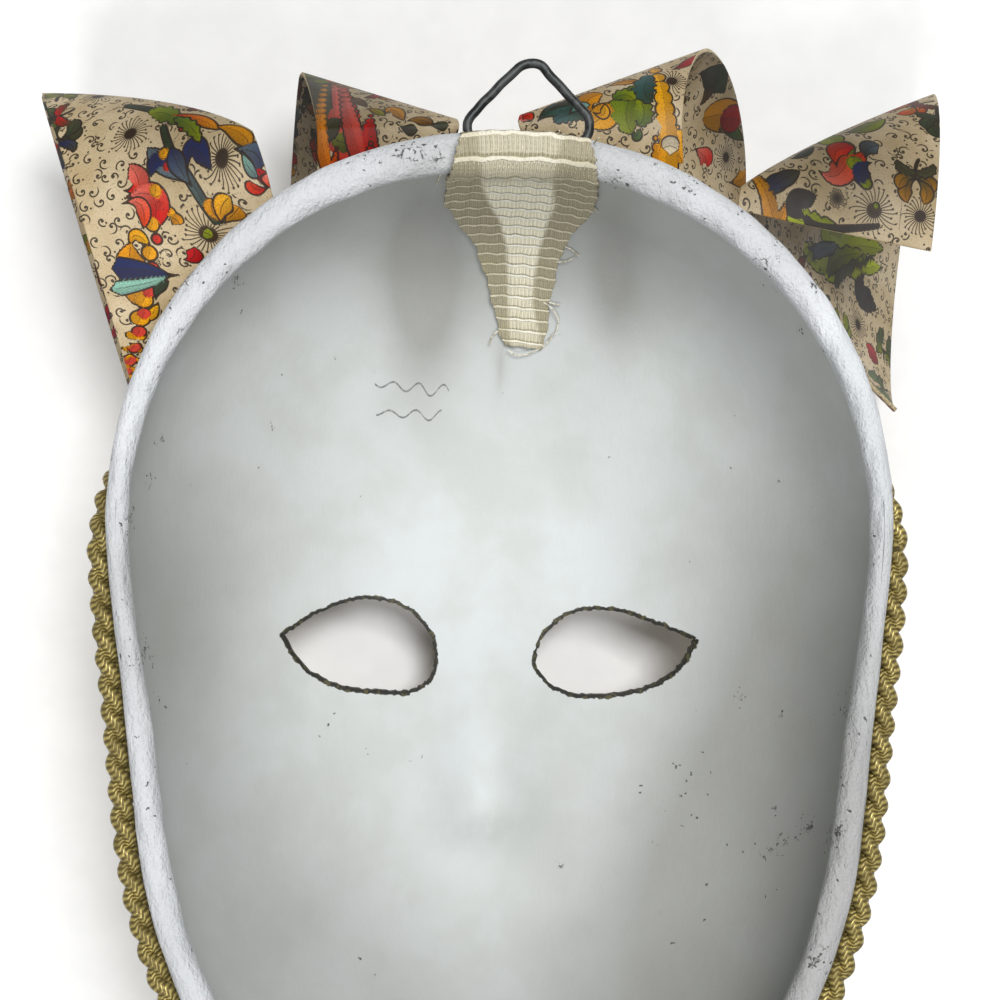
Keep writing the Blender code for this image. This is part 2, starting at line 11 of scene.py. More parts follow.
import bmesh
import bpy
import numpy as np
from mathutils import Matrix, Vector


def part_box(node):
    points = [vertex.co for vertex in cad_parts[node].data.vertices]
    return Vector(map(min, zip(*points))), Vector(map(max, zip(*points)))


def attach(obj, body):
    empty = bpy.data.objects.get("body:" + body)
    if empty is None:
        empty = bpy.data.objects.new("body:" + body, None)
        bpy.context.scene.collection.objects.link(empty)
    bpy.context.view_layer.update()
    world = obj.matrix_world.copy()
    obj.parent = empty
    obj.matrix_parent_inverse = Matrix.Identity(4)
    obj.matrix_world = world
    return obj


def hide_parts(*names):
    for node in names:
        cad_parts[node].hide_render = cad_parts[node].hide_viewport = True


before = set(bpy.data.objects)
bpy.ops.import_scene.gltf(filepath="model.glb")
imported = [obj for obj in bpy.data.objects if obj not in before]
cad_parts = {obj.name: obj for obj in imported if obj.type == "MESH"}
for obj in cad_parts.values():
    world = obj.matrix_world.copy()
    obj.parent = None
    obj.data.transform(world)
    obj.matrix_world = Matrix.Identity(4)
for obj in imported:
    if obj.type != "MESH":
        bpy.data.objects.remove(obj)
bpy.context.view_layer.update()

# Camera
# The view is straight down on the hollow back, from 35 cm above the rim and a little left of the middle
# of the face. The drawing's origin comes from the rim's box, its height from the round hanger wire.
RIM_HEIGHT = 0.085
CROWN_EDGE_Y = 0.0821
WIRE_MIDDLE_Z = 0.0866
CAMERA_RISE = 0.350
CAMERA_X = -0.018
VIEW_WIDTH = 0.2208
SENSOR = 36.0

rim_low, rim_high = (np.array(corner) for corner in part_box("mask_shell"))
wire_low, wire_high = (np.array(corner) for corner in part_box("hanger_wire"))
drawing_origin = np.array([
    (rim_low[0] + rim_high[0]) / 2,
    rim_high[1] - CROWN_EDGE_Y,
    (wire_low[2] + wire_high[2]) / 2 - WIRE_MIDDLE_Z,
])


def put_in_scene(name, data):
    """A new object of the scene that holds a mesh, curve, light or camera."""
    made = bpy.data.objects.new(name, data)
    bpy.context.scene.collection.objects.link(made)
    return made


lens = bpy.data.cameras.new("view")
lens.sensor_width = SENSOR
lens.lens = SENSOR * CAMERA_RISE / VIEW_WIDTH
lens.shift_x = -CAMERA_X / VIEW_WIDTH
lens.clip_start = 0.01
camera = put_in_scene("view", lens)
camera.location = drawing_origin + np.array([CAMERA_X, 0.0, RIM_HEIGHT + CAMERA_RISE])
bpy.context.scene.camera = camera


def seen_at(points):
    """Where the camera sees points of the drawing, in pixels of a 1000 x 1000 picture: the offset from
    the lens axis shrinks with the ratio of the rim's distance to the point's distance."""
    shrink = CAMERA_RISE / (CAMERA_RISE + RIM_HEIGHT - points[..., 2])
    pixel = VIEW_WIDTH / 1000
    across = 500 + ((points[..., 0] - CAMERA_X) * shrink + CAMERA_X) / pixel
    down = 500 - points[..., 1] * shrink / pixel
    return np.stack([across, down], axis=-1)


# Papier-mache shell
# Layers of paper pressed in a mould, with a roll of paper round the rim, all brushed with white gesso.
# Its outline is two half superellipses pinched at the temples, its depth a bowl with the face's relief.
FACE_HALF_WIDTH = 0.0885
CROWN_REACH = 0.0931
CHIN_REACH = 0.150
WIDEST_Y = -0.011
CROWN_SQUARENESS = 2.12
JAW_SQUARENESS = 2.3
TEMPLE_PINCH = 0.042
PINCH_Y = -0.050
PINCH_REACH = 0.035
FOREHEAD_Z = 0.014
BOWL_SQUARENESS = 2.4
WALL = 0.0028
NOSE_TIP_Y = -0.086
NOSE_ROOT_Y = -0.034
NOSE_WIDTH = 0.0135
NOSE_BASE = 0.0125
NOSE_HOLLOW = 0.007
HOLLOW_REACH = 0.046
HOLLOW_END_Y = -0.081
HOLLOW_ROUNDING = 0.0088
HOLLOW_WIDTH = 0.0115
EYE_LINE_Y = -0.039
MOUTH_LINE_Y = -0.1130
MOUTH_HALF_WIDTH = 0.024
CHIN_Y = -0.139
BEAD_WIDTH_SIDES = 0.0067
BEAD_WIDTH_CROWN = 0.0087
BEAD_HEIGHT = 0.0064
BEAD_UNDERCUT = 0.0022
PENCIL_MIDDLE = (-0.0197, 0.0292, 0.0)
PENCIL_ROW_STEP = (-0.0008, -0.0068, 0.0)
EYE_BORDER = 0.00022

# The shell's finishes, by their place in its list of materials.
FRONT, RIM, HOLLOW, CUT_EDGE = range(4)

# Edges of the eye holes: knots of a smooth curve in the plan, the first of them a sharp corner.
LEFT_EYE = [
    (-0.0527, -0.0348), (-0.0427, -0.0288), (-0.0290, -0.0262), (-0.0186, -0.0309),
    (-0.0138, -0.0415), (-0.0166, -0.0482), (-0.0280, -0.0497), (-0.0441, -0.0453),
]
RIGHT_EYE = [
    (0.0528, -0.0361), (0.0434, -0.0322), (0.0300, -0.0288), (0.0190, -0.0318),
    (0.0130, -0.0425), (0.0170, -0.0484), (0.0322, -0.0505), (0.0473, -0.0445),
]

# Mounds of the face and those felt inside: height, middle and spread, both across and along.
FACE_MOUNDS = {
    "brow": (0.0032, (0.030, EYE_LINE_Y + 0.0175), (0.026, 0.0085)),
    "eye socket": (-0.0034, (0.033, EYE_LINE_Y), (0.022, 0.012)),
    "cheek": (0.0040, (0.044, EYE_LINE_Y - 0.040), (0.021, 0.021)),
    "mouth": (0.0050, (0.0, MOUTH_LINE_Y), (0.028, 0.017)),
    "chin": (0.0066, (0.0, CHIN_Y), (0.019, 0.011)),
    "wing of the nose": (0.0070, (0.0128, NOSE_TIP_Y - 0.0025), (0.0056, 0.0062)),
    "groove over the lip": (-0.0010, (0.0, MOUTH_LINE_Y + 0.0135), (0.0026, 0.0050)),
    "edge of the groove": (0.0006, (0.0042, MOUTH_LINE_Y + 0.0130), (0.0016, 0.0050)),
}
INSIDE_MOUNDS = {
    "eye socket": (-0.0016, (0.033, EYE_LINE_Y), (0.026, 0.016)),
    "cheek": (0.0016, (0.044, EYE_LINE_Y - 0.040), (0.026, 0.026)),
    "mouth": (0.0030, (0.0, MOUTH_LINE_Y), (0.032, 0.021)),
    "chin": (0.0030, (0.0, CHIN_Y), (0.022, 0.013)),
}


def pinch(y):
    """One, less a soft notch at the temples."""
    return 1 - TEMPLE_PINCH * np.exp(-(((y - PINCH_Y) / PINCH_REACH) ** 2))


def outline(t):
    """Plan of the rim's outer edge at angle t: x and y are signed powers of the cosine and sine."""
    across, along = np.cos(t), np.sin(t)
    square = np.where(along >= 0, CROWN_SQUARENESS, JAW_SQUARENESS)
    reach = np.where(along >= 0, CROWN_REACH, CHIN_REACH)
    x = FACE_HALF_WIDTH * np.sign(across) * np.abs(across) ** (2 / square)
    y = WIDEST_Y + reach * np.sign(along) * np.abs(along) ** (2 / square)
    return x * pinch(y), y


def bowl(x, y, inset):
    """Height of the plain bowl: the rim less a superellipse of the share of the way to the outline."""
    square = np.where(y >= WIDEST_Y, CROWN_SQUARENESS, JAW_SQUARENESS)
    reach = np.where(y >= WIDEST_Y, CROWN_REACH, CHIN_REACH) - inset
    across = np.abs(x / pinch(y)) / (FACE_HALF_WIDTH - inset)
    along = np.abs(y - WIDEST_Y) / reach
    share = np.minimum((across**square + along**square) ** (1 / square), 1.0)
    depth = RIM_HEIGHT - FOREHEAD_Z - inset
    return RIM_HEIGHT - depth * (1 - share**BOWL_SQUARENESS) ** (1 / BOWL_SQUARENESS)


def mounds(x, y, table):
    """Sum of mounds, each at a place of the plan and at its mirror image: a bell in x times one in y."""
    total = 0.0
    for height, middle, spread in table.values():
        away = ((np.abs(x) - middle[0]) / spread[0]) ** 2 + ((y - middle[1]) / spread[1]) ** 2
        total = total + height * np.exp(-away)
    return total


def nose(x, y, width):
    """A ridge that climbs by a sine from its root to its tip and rounds off by a cosine below it."""
    along = np.clip((NOSE_ROOT_Y - y) / (NOSE_ROOT_Y - NOSE_TIP_Y), 0.0, 1.0)
    below = np.clip((NOSE_TIP_Y - y) / NOSE_BASE, 0.0, 1.0)
    rise = np.sin(math.pi / 2 * along) ** 1.5 * np.cos(math.pi / 2 * below) ** 0.8
    spread = width * (0.55 + 0.45 * along)
    return rise * np.exp(-(np.abs(x / spread) ** (2.2 + 0.9 * along)))


def relief(x, y):
    """How far the face stands out from the bowl: the sum of its mounds, with a bell for each lip, a fine
    dip along the parting of the lips, and the nose, whose ridge takes the place of what it covers."""
    height = float(bowl(np.array(0.0), np.array(NOSE_TIP_Y), 0.0))
    form = mounds(x, y, FACE_MOUNDS)
    lips = np.exp(-((np.abs(x) / MOUTH_HALF_WIDTH) ** 3.5))
    upper = np.exp(-(((y - MOUTH_LINE_Y - 0.0042) / 0.0038) ** 2))
    lower = np.exp(-(((y - MOUTH_LINE_Y + 0.0052) / 0.0045) ** 2))
    form = form + lips * (0.0045 * upper + 0.0055 * lower)
    bow = MOUTH_LINE_Y - 0.0002 + 0.0011 * np.cos(x / 0.0052) * np.exp(-((x / 0.011) ** 2))
    form = form - 0.0016 * lips * np.exp(-(((y - bow) / 0.0010) ** 2))
    ridge = nose(x, y, NOSE_WIDTH)
    return form * (1 - ridge**1.5) + height * ridge


def inside_height(x, y):
    """Height of the inner surface: the inset bowl, with the mounds felt softly through the layers and a
    channel for the nose, which deepens by a sine and ends in a bell."""
    along = np.clip((NOSE_ROOT_Y - y) / HOLLOW_REACH, 0.0, 1.0)
    below = np.maximum(HOLLOW_END_Y - y, 0.0) / HOLLOW_ROUNDING
    fall = below**2 + np.abs(x / HOLLOW_WIDTH) ** 2.2
    channel = np.sin(math.pi / 2 * along) ** 1.5 * np.exp(-fall)
    return bowl(x, y, WALL) - mounds(x, y, INSIDE_MOUNDS) - NOSE_HOLLOW * channel


def bead_half_width(t):
    """Half the width of the rolled rim: the sides' width, growing with the squared sine to the crown."""
    crown = np.clip(np.sin(t), 0.0, 1.0) ** 2
    return 0.5 * (BEAD_WIDTH_SIDES + (BEAD_WIDTH_CROWN - BEAD_WIDTH_SIDES) * crown)


def skin(t, k):
    """Point of the shell's whole skin at angle t. k runs from 0 at the tip of the nose up the outside to
    1, over the rolled rim to 2, and down the inside to 3: each point lies on the plan's ray from the nose
    tip to the outline, and takes its height from the bowl, the rim's half oval or the inner surface."""
    t, k = np.broadcast_arrays(np.asarray(t, float), np.asarray(k, float))
    edge_x, edge_y = outline(t)
    ray_y = edge_y - NOSE_TIP_Y
    ray = np.hypot(edge_x, ray_y)

    def inset_point(inset, share):
        shorter = share * (1 - inset / ray)
        return edge_x * shorter, NOSE_TIP_Y + ray_y * shorter

    lean = 0.075 + (math.pi / 2 - 0.075) * (1 - np.clip(k, 0.0, 1.0) ** 1.45)
    x, y = inset_point(0.0, np.cos(lean) ** (2 / BOWL_SQUARENESS))
    front = np.stack([x, y, bowl(x, y, 0.0) - relief(x, y)], axis=-1)
    turn = math.pi - (math.pi + math.radians(35)) * np.clip(k - 1, 0.0, 1.0)
    x, y = inset_point(bead_half_width(t) * (1 + np.cos(turn)), 1.0)
    rise = np.where(turn < 0, BEAD_UNDERCUT / math.sin(math.radians(35)), BEAD_HEIGHT / 2)
    bead = np.stack([x, y, RIM_HEIGHT - BEAD_HEIGHT / 2 + rise * np.sin(turn)], axis=-1)
    back = np.clip(k - 2, 0.0, 1.0)
    lean = 0.115 + (math.pi / 2 - 0.115) * (1 - (1 - back) ** 1.25)
    x, y = inset_point(WALL, np.cos(lean) ** (2 / BOWL_SQUARENESS))
    inside = np.stack([x, y, inside_height(x, y)], axis=-1)
    k = k[..., None]
    return np.where(k <= 1, front, np.where(k <= 2, bead, inside))


def unit(vectors):
    """The vectors, each divided by its own length, which is kept from zero."""
    return vectors / np.maximum(np.linalg.norm(vectors, axis=-1, keepdims=True), 1e-30)


def skin_normal(t, k):
    """Unit vector out of the paper: the cross product of two short steps along the skin."""
    along_t = skin(t + 1e-4, k) - skin(t - 1e-4, k)
    along_k = skin(t, k + 1e-4) - skin(t, k - 1e-4)
    return unit(np.cross(along_t, along_k))


def grid_faces(rows, columns, closed, looped=False):
    """Quads that join each point of a grid to the next in its row and the two after them in the next
    row; a closed grid joins its last column to its first, a looped one its last row too."""
    j, i = np.meshgrid(np.arange(rows - (not looped)), np.arange(columns - (not closed)), indexing="ij")
    below, beside = (j + 1) % rows, (i + 1) % columns
    corners = [j * columns + i, j * columns + beside, below * columns + beside, below * columns + i]
    return np.stack(corners, axis=-1).reshape(-1, 4)


def add_piece(name, points, faces, finishes):
    """Puts drawn points and faces into a mesh object at the world's origin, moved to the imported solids'
    place, and lets it ride on the mask."""
    mesh = bpy.data.meshes.new(name)
    moved = np.asarray(points, float).reshape(-1, 3) + drawing_origin
    mesh.from_pydata(moved.tolist(), [], [list(face) for face in faces])
    for finish in finishes:
        mesh.materials.append(finish)
    mesh.shade_smooth()
    piece = put_in_scene(name, mesh)
    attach(piece, "root")
    return piece


def add_values(mesh, name, values):
    """Stores a number, vector or colour for each point of the mesh, under a name that its material
    reads."""
    kinds = {1: ("FLOAT", "value"), 3: ("FLOAT_VECTOR", "vector"), 4: ("FLOAT_COLOR", "color")}
    kind, field = kinds[values.size // len(mesh.vertices)]
    mesh.attributes.new(name, kind, "POINT").data.foreach_set(field, values.ravel())


def tone(red, green, blue):
    """A screen colour, 0 to 255, as the linear light that a shader takes."""
    value = np.array([red, green, blue]) / 255
    linear = np.where(value <= 0.04045, value / 12.92, ((value + 0.055) / 1.055) ** 2.4)
    return (*linear.tolist(), 1.0)


def new_finish(name, **sockets):
    """A node material with its constants on the shader's own sockets; gives it, its tree and shader."""
    finish = bpy.data.materials.new(name)
    finish.use_nodes = True
    shader = finish.node_tree.nodes["Principled BSDF"]
    for socket, value in sockets.items():
        shader.inputs[socket.replace("_", " ")].default_value = value
    return finish, finish.node_tree, shader


class Field:
    """A number, colour or vector that a material works out at each point of a surface. Arithmetic with
    a field adds the node for it."""

    def __init__(self, tree, socket):
        self.tree = tree
        self.socket = socket

    def math(self, operation, *others):
        return node(self.tree, "Math", dict(enumerate((self, *others))), operation=operation)

    def __add__(self, other):
        return self.math("ADD", other)

    def __sub__(self, other):
        return self.math("SUBTRACT", other)

    def __rsub__(self, other):
        return node(self.tree, "Math", {0: other, 1: self}, operation="SUBTRACT")

    def __mul__(self, other):
        return self.math("MULTIPLY", other)

    def __truediv__(self, other):
        return self.math("DIVIDE", other)

    def __lt__(self, other):
        return self.math("LESS_THAN", other)

    def __abs__(self):
        return self.math("ABSOLUTE")


def node(tree, kind, fill=(), pick=0, **settings):
    """Adds a node, fills or links its inputs by name or number, and gives one of its outputs."""
    made = tree.nodes.new("ShaderNode" + kind)
    for key, value in settings.items():
        setattr(made, key, value)
    for key, value in dict(fill).items():
        if isinstance(value, Field):
            tree.links.new(value.socket, made.inputs[key])
        else:
            made.inputs[key].default_value = value
    return Field(tree, made.outputs[pick])


def feed(shader, **fields):
    """Links fields to the shader's sockets."""
    for name, field in fields.items():
        field.tree.links.new(field.socket, shader.inputs[name.replace("_", " ")])


def stored(tree, name, pick=2):
    """An attribute of the points: its number by default, its vector with pick 1, its colour with 0."""
    return node(tree, "Attribute", pick=pick, attribute_name=name)


def own_place(tree):
    """The place in the object's own frame."""
    return node(tree, "TexCoord", pick=3)


def split(vector, kind="SeparateXYZ"):
    """The three numbers of a vector or colour."""
    first = node(vector.tree, kind, {0: vector})
    return [Field(vector.tree, output) for output in first.socket.node.outputs]


def shaken(place, scale, reach, moved=None):
    """A place, or another one that is moved in its stead, shifted by soft noise of a scale and reach."""
    noise = node(place.tree, "TexNoise", {"Vector": place, "Scale": scale}, pick=1)
    fill = {0: noise, 1: (reach, reach, reach), 2: moved or place}
    return node(place.tree, "VectorMath", fill, operation="MULTIPLY_ADD")


def cells(place, scale, pick=0, randomness=1.0, **settings):
    """Voronoi cells at a place: the distance by default, the colour with pick 1, the middle with 2."""
    fill = {"Vector": place, "Scale": scale, "Randomness": randomness}
    return node(place.tree, "TexVoronoi", fill, pick, **settings)


def between(value, low, high, first=0.0, last=1.0):
    """A smooth step: first below low, last above high."""
    fill = {"Value": value, "From Min": low, "From Max": high, "To Min": first, "To Max": last}
    return node(value.tree, "MapRange", fill, interpolation_type="SMOOTHSTEP")


def blend(share, first, last):
    """A colour part of the way from the first to the last."""
    return node(share.tree, "Mix", {0: share, 6: first, 7: last}, pick=2, data_type="RGBA")


def cloud(place, scale, detail=3.0, roughness=0.5):
    """Soft noise at a place, so many lumps to the metre."""
    fill = {"Vector": place, "Scale": scale, "Detail": detail, "Roughness": roughness}
    return node(place.tree, "TexNoise", fill)


def rough_skin(shader, height, depth, before=None):
    """Raises the surface by a height of 0 to 1 times a depth in metres; gives the bent normal."""
    fill = {"Height": height, "Distance": depth, "Strength": 1.0}
    if before is not None:
        fill["Normal"] = before
    bent = node(height.tree, "Bump", fill)
    feed(shader, Normal=bent)
    return bent


def gesso_finish(name, clean, dusty, lumps, pit_share):
    """Brushed gesso: two whites mixed by soft noise, greyed as painted shade where the shade attribute
    says, crumbs and hair cracks in dark dots from Voronoi cells where the wear attribute is high."""
    finish, tree, shader = new_finish(name, Roughness=0.58, Specular_IOR_Level=0.35)
    place = own_place(tree)
    worn = stored(tree, "wear")
    colour = blend(between(cloud(place, 42.0, 3.0, 0.6), 0.35, 0.68), clean, dusty)
    # Painted shade: the shade attribute blends the gesso towards this grey.
    colour = blend(stored(tree, "shade") * 0.75, colour, tone(131, 129, 123))
    warp = shaken(place, 900.0, 0.0022)
    luck = split(cells(warp, 820.0, 1), "SeparateColor")[0]
    crumb = between(cells(warp, 820.0), 0.22, 0.40, 1.0, 0.0)
    crumb = crumb * (luck < worn * 0.55 + pit_share)
    crack = between(cells(warp, 330.0, feature="DISTANCE_TO_EDGE"), 0.02, 0.10, 1.0, 0.0)
    crack = crack * between(cloud(place, 380.0, 2.0), 0.50, 0.60) * between(worn, 0.30, 0.80)
    colour = blend(crumb.math("MAXIMUM", crack) * 0.88, colour, tone(52, 50, 46))
    feed(shader, Base_Color=colour)
    strokes = cloud(node(tree, "Mapping", {0: place, 3: (1.0, 0.45, 1.0)}), 420.0, 3.0, 0.65)
    bent = rough_skin(shader, strokes, lumps)
    rough_skin(shader, cloud(place, 1300.0, 2.0, 0.7), lumps * 0.45, bent)
    return finish, shader, colour, place


def pencil_row(place, middle, half_length, swing, waves, lean):
    """A wavy pencil stroke: the distance from a turned sine curve, cut off at its two ends."""
    fill = {0: place, 1: tuple(middle), 2: (0.0, 0.0, lean)}
    x, y, _ = split(node(place.tree, "Mapping", fill, vector_type="TEXTURE"))
    wave = (x * (waves * math.pi / half_length)).math("SINE")
    wave = wave * between(x, -half_length, half_length, 0.6, 1.3) * swing
    line = between(abs(y - wave), 0.00018, 0.00034, 1.0, 0.0)
    return line * between(abs(x), half_length * 0.97, half_length, 1.0, 0.0)


def inner_gesso_finish():
    """The gesso of the hollow, with two rows of pencil strokes on the forehead and dark paint round the
    eye holes."""
    # The hollow's two whites are set darker than the rim's, as painted shade of the hollow.
    finish, shader, colour, place = gesso_finish(
        "inner_gesso", tone(204, 209, 209), tone(195, 199, 196), 0.00010, 0.0012
    )
    middle = drawing_origin + PENCIL_MIDDLE
    upper = pencil_row(place, middle, 0.0098, 0.0013, 3.0, -0.10)
    lower = pencil_row(place, middle + PENCIL_ROW_STEP, 0.0086, 0.0011, 2.5, -0.04)
    faint = between(cloud(place, 1500.0, 2.0), 0.30, 0.55, 0.45, 1.0)
    colour = blend(upper.math("MAXIMUM", lower) * 0.72 * faint, colour, tone(60, 60, 64))
    streaks = cloud(place, 520.0, 3.0, 0.7)
    ragged = streaks * -0.0018 + stored(place.tree, "from_eyes")
    painted = between(ragged, 0.0, EYE_BORDER, 1.0, 0.0)
    paint = blend(between(streaks, 0.50, 0.62), tone(30, 29, 24), tone(76, 72, 44))
    feed(shader, Base_Color=blend(painted, colour, paint))
    return finish


def front_finish():
    """The painted front: ivory with a fine crackle, blackened and gilt round the eyes, and gilt lips.
    The crackle is the edge distance of Voronoi cells; the zones come from attributes of the points."""
    finish, tree, shader = new_finish("painted_front", Coat_Weight=0.25, Coat_Roughness=0.25)
    place = own_place(tree)
    mottle = cloud(place, 55.0, 5.0, 0.62)
    ivory = blend(between(mottle, 0.32, 0.70), tone(232, 221, 196), tone(208, 190, 156))
    nets = cells(shaken(place, 160.0, 0.006), 210.0, feature="DISTANCE_TO_EDGE")
    crackle = between(nets, 0.012, 0.045, 1.0, 0.0)
    colour = blend(crackle * 0.55, ivory, tone(120, 98, 70))
    speckle = cloud(place, 700.0, 4.0, 0.7)
    gilt = between(speckle * 0.5 + stored(tree, "gilt"), 0.70, 0.80)
    black = between(speckle * 0.5 + stored(tree, "black"), 0.72, 0.82)
    gold = blend(between(mottle, 0.3, 0.7), tone(186, 142, 62), tone(148, 104, 40))
    colour = blend(gilt, colour, gold)
    colour = blend(black, colour, tone(40, 38, 30))
    gessoed = between(speckle * 0.4 + stored(tree, "gessoed"), 0.55, 0.85)
    colour = blend(gessoed, colour, tone(222, 224, 222))
    feed(shader, Base_Color=colour, Metallic=gilt * (0.85 - black))
    feed(shader, Roughness=between(speckle, 0.3, 0.7, 0.34, 0.52))
    bent = rough_skin(shader, 1.0 - crackle, 0.00012)
    rough_skin(shader, cloud(place, 260.0, 4.0), 0.00015, bent)
    return finish


def cut_edge_finish():
    """The cut edges of the eye holes: brown-black paint over the layers of paper, olive where thin."""
    finish, tree, shader = new_finish("painted_cut_edge", Roughness=0.55)
    layers = cloud(node(tree, "Mapping", {0: own_place(tree), 3: (1.0, 1.0, 6.0)}), 420.0, 4.0, 0.6)
    feed(shader, Base_Color=blend(between(layers, 0.46, 0.62), tone(34, 32, 26), tone(84, 80, 50)))
    rough_skin(shader, layers, 0.0003)
    return finish


# Places in the picture where the gesso has crumbled or cracked: pixel, reach in pixels, strength.
CRUMBLED = [
    (372, 158, 9, 0.8), (395, 156, 9, 0.9), (415, 154, 8, 1.0), (436, 155, 8, 1.0), (320, 150, 8, 0.4),
    (350, 145, 10, 0.5), (230, 262, 6, 0.8), (238, 280, 6, 0.9), (196, 270, 8, 0.7), (183, 285, 7, 0.7),
    (168, 318, 5, 0.5), (180, 330, 6, 0.6), (149, 480, 5, 0.7), (129, 518, 6, 0.7), (134, 570, 5, 0.6),
    (139, 632, 7, 0.8), (148, 650, 7, 0.8), (136, 660, 6, 0.6), (770, 262, 6, 0.9), (762, 258, 4, 0.6),
    (816, 290, 6, 0.9), (814, 282, 4, 0.8), (824, 351, 6, 0.9), (846, 698, 6, 1.0), (848, 716, 7, 0.6),
    (833, 838, 7, 0.9), (842, 824, 9, 0.6), (828, 890, 5, 0.6), (816, 957, 12, 0.9), (840, 860, 9, 0.3),
    (775, 250, 14, 0.25), (740, 215, 14, 0.25), (690, 185, 16, 0.3), (640, 150, 16, 0.3),
    (800, 235, 12, 0.3),
    (784, 716, 5, 0.9), (774, 809, 4, 0.7), (808, 823, 7, 0.7), (797, 832, 6, 0.6), (781, 845, 6, 0.6),
    (764, 853, 6, 0.6), (658, 842, 4, 0.6), (713, 844, 3, 0.5), (764, 896, 5, 0.3), (800, 329, 5, 0.4),
    (771, 285, 4, 0.9), (614, 182, 4, 0.8), (270, 428, 4, 0.6), (159, 440, 6, 0.6), (312, 450, 4, 0.3),
    (192, 485, 3, 0.6), (365, 750, 4, 0.5), (412, 752, 7, 0.4), (330, 730, 9, 0.4), (560, 865, 4, 0.7),
    (730, 846, 7, 0.3), (752, 851, 7, 0.35), (775, 847, 7, 0.35), (788, 838, 7, 0.35), (804, 825, 7, 0.35),
    (705, 880, 5, 0.25), (706, 920, 5, 0.25), (692, 700, 9, 0.25), (742, 698, 7, 0.4),
    (672, 797, 26, 0.16), (690, 770, 14, 0.12), (160, 700, 12, 0.25), (150, 800, 10, 0.2),
    (336, 357, 4, 0.5),
]

# Painted shade on the hollow: soft grey patches where its forehead wall, corners and lower walls lie in
# shade: pixel, reach across and down, strength.
PAINTED_SHADE_PATCHES = [
    (424, 295, 36, 90, 0.90), (615, 285, 28, 80, 0.52), (500, 366, 5, 24, 0.40), (520, 210, 330, 150, 0.66),
    (230, 330, 90, 130, 0.30), (770, 360, 70, 150, 0.20), (180, 620, 60, 190, 0.22),
    (785, 720, 80, 230, 0.34), (690, 880, 110, 160, 0.50), (300, 920, 130, 120, 0.22),
    (400, 770, 70, 150, 0.20), (560, 790, 60, 160, 0.24),
]


def near_places(spots, places):
    """Sum of bells round places of the picture: each falls off with the squared distance in pixels."""
    total = np.zeros(len(spots))
    for place in places:
        wide, tall = place[2], place[-2]
        away = ((spots[:, 0] - place[0]) / wide) ** 2 + ((spots[:, 1] - place[1]) / tall) ** 2
        total += place[-1] * np.exp(-away)
    return np.clip(total, 0.0, 1.0)


def finished_mesh(piece):
    """A new mesh of a piece as its curve settings or modifiers make it."""
    graph = bpy.context.evaluated_depsgraph_get()
    return bpy.data.meshes.new_from_object(piece.evaluated_get(graph))


def values_of(items, field, width=1, kind=float):
    """One field of all vertices, corners or faces, as an array with a row for each."""
    values = np.empty(len(items) * width, dtype=kind)
    items.foreach_get(field, values)
    return values.reshape(-1, width) if width > 1 else values


def eye_prism(name, knots, finishes):
    """The prism that cuts one eye hole: a smooth curve through the knots, sharp at the first, with the
    nicks of a knife cut as two short waves along it."""
    data = bpy.data.curves.new(name, "CURVE")
    data.dimensions = "2D"
    data.fill_mode = "BOTH"
    data.extrude = 0.030
    data.resolution_u = 16
    spline = data.splines.new("BEZIER")
    spline.bezier_points.add(len(knots) - 1)
    for index, (knot, (x, y)) in enumerate(zip(spline.bezier_points, knots)):
        knot.co = (x, y, 0.0)
        knot.handle_left_type = knot.handle_right_type = "AUTO" if index else "VECTOR"
    spline.use_cyclic_u = True
    curve = put_in_scene(name, data)
    mesh = finished_mesh(curve)
    bpy.data.objects.remove(curve)
    form = bmesh.new()
    form.from_mesh(mesh)
    bmesh.ops.remove_doubles(form, verts=form.verts, dist=1e-6)
    bmesh.ops.recalc_face_normals(form, faces=form.faces)
    form.to_mesh(mesh)
    form.free()
    points = values_of(mesh.vertices, "co", 3)
    wave = points[:, 0] * 2100 + points[:, 1] * 1700
    points[:, 0] += 0.00016 * np.sin(wave) + 0.00010 * np.sin(2.7 * wave + 1)
    points[:, 1] += 0.00016 * np.cos(1.3 * wave) + 0.00012 * np.sin(3.1 * wave)
    points += drawing_origin + np.array([0.0, 0.0, 0.022])
    mesh.vertices.foreach_set("co", points.ravel())
    for finish in finishes:
        mesh.materials.append(finish)
    mesh.polygons.foreach_set("material_index", np.full(len(mesh.polygons), CUT_EDGE, dtype=np.int32))
    return put_in_scene(name, mesh)


def away_from_cut(x, y, mesh):
    """Distance in the plan from the nearest corner of the faces that the prisms cut."""
    finish_of = values_of(mesh.polygons, "material_index", kind=np.int32)
    sides = values_of(mesh.polygons, "loop_total", kind=np.int32)
    corners = values_of(mesh.loops, "vertex_index", kind=np.int32)
    cut = np.unique(corners[np.repeat(finish_of, sides) == CUT_EDGE])
    nearest = np.full(len(x), 1.0)
    for corner in cut:
        nearest = np.minimum(nearest, np.hypot(x - x[corner], y - y[corner]))
    return nearest


# The skin's grid: steps round the mask, and steps of k up the front, over the rim and down the hollow.
AROUND = 288
front_steps = np.linspace(0.0, 1.0, 105)
bead_steps = np.linspace(1.0, 2.0, 22)[1:]
back_steps = np.linspace(2.0, 3.0, 92)[1:]
rings = np.concatenate([front_steps, bead_steps, back_steps])
angles = np.arange(AROUND) * 2 * math.pi / AROUND
grid = skin(angles[None, :], rings[1:-1, None])
t_wave, k_wave = angles[None, :], rings[1:-1, None]
on_bead = np.exp(-(((k_wave - 1.5) / 0.45) ** 4))
lumpy = 0.00018 * np.sin(9 * t_wave + 3 * k_wave) + 0.00016 * np.sin(23 * t_wave - 7 * k_wave + 1)
lumpy = lumpy + 0.00012 * np.sin(41 * t_wave + 11 * k_wave + 2)
lumpy = lumpy + 0.00008 * np.sin(67 * t_wave - 19 * k_wave)
grid = grid + skin_normal(angles[None, :], rings[1:-1, None]) * (lumpy * on_bead)[..., None]
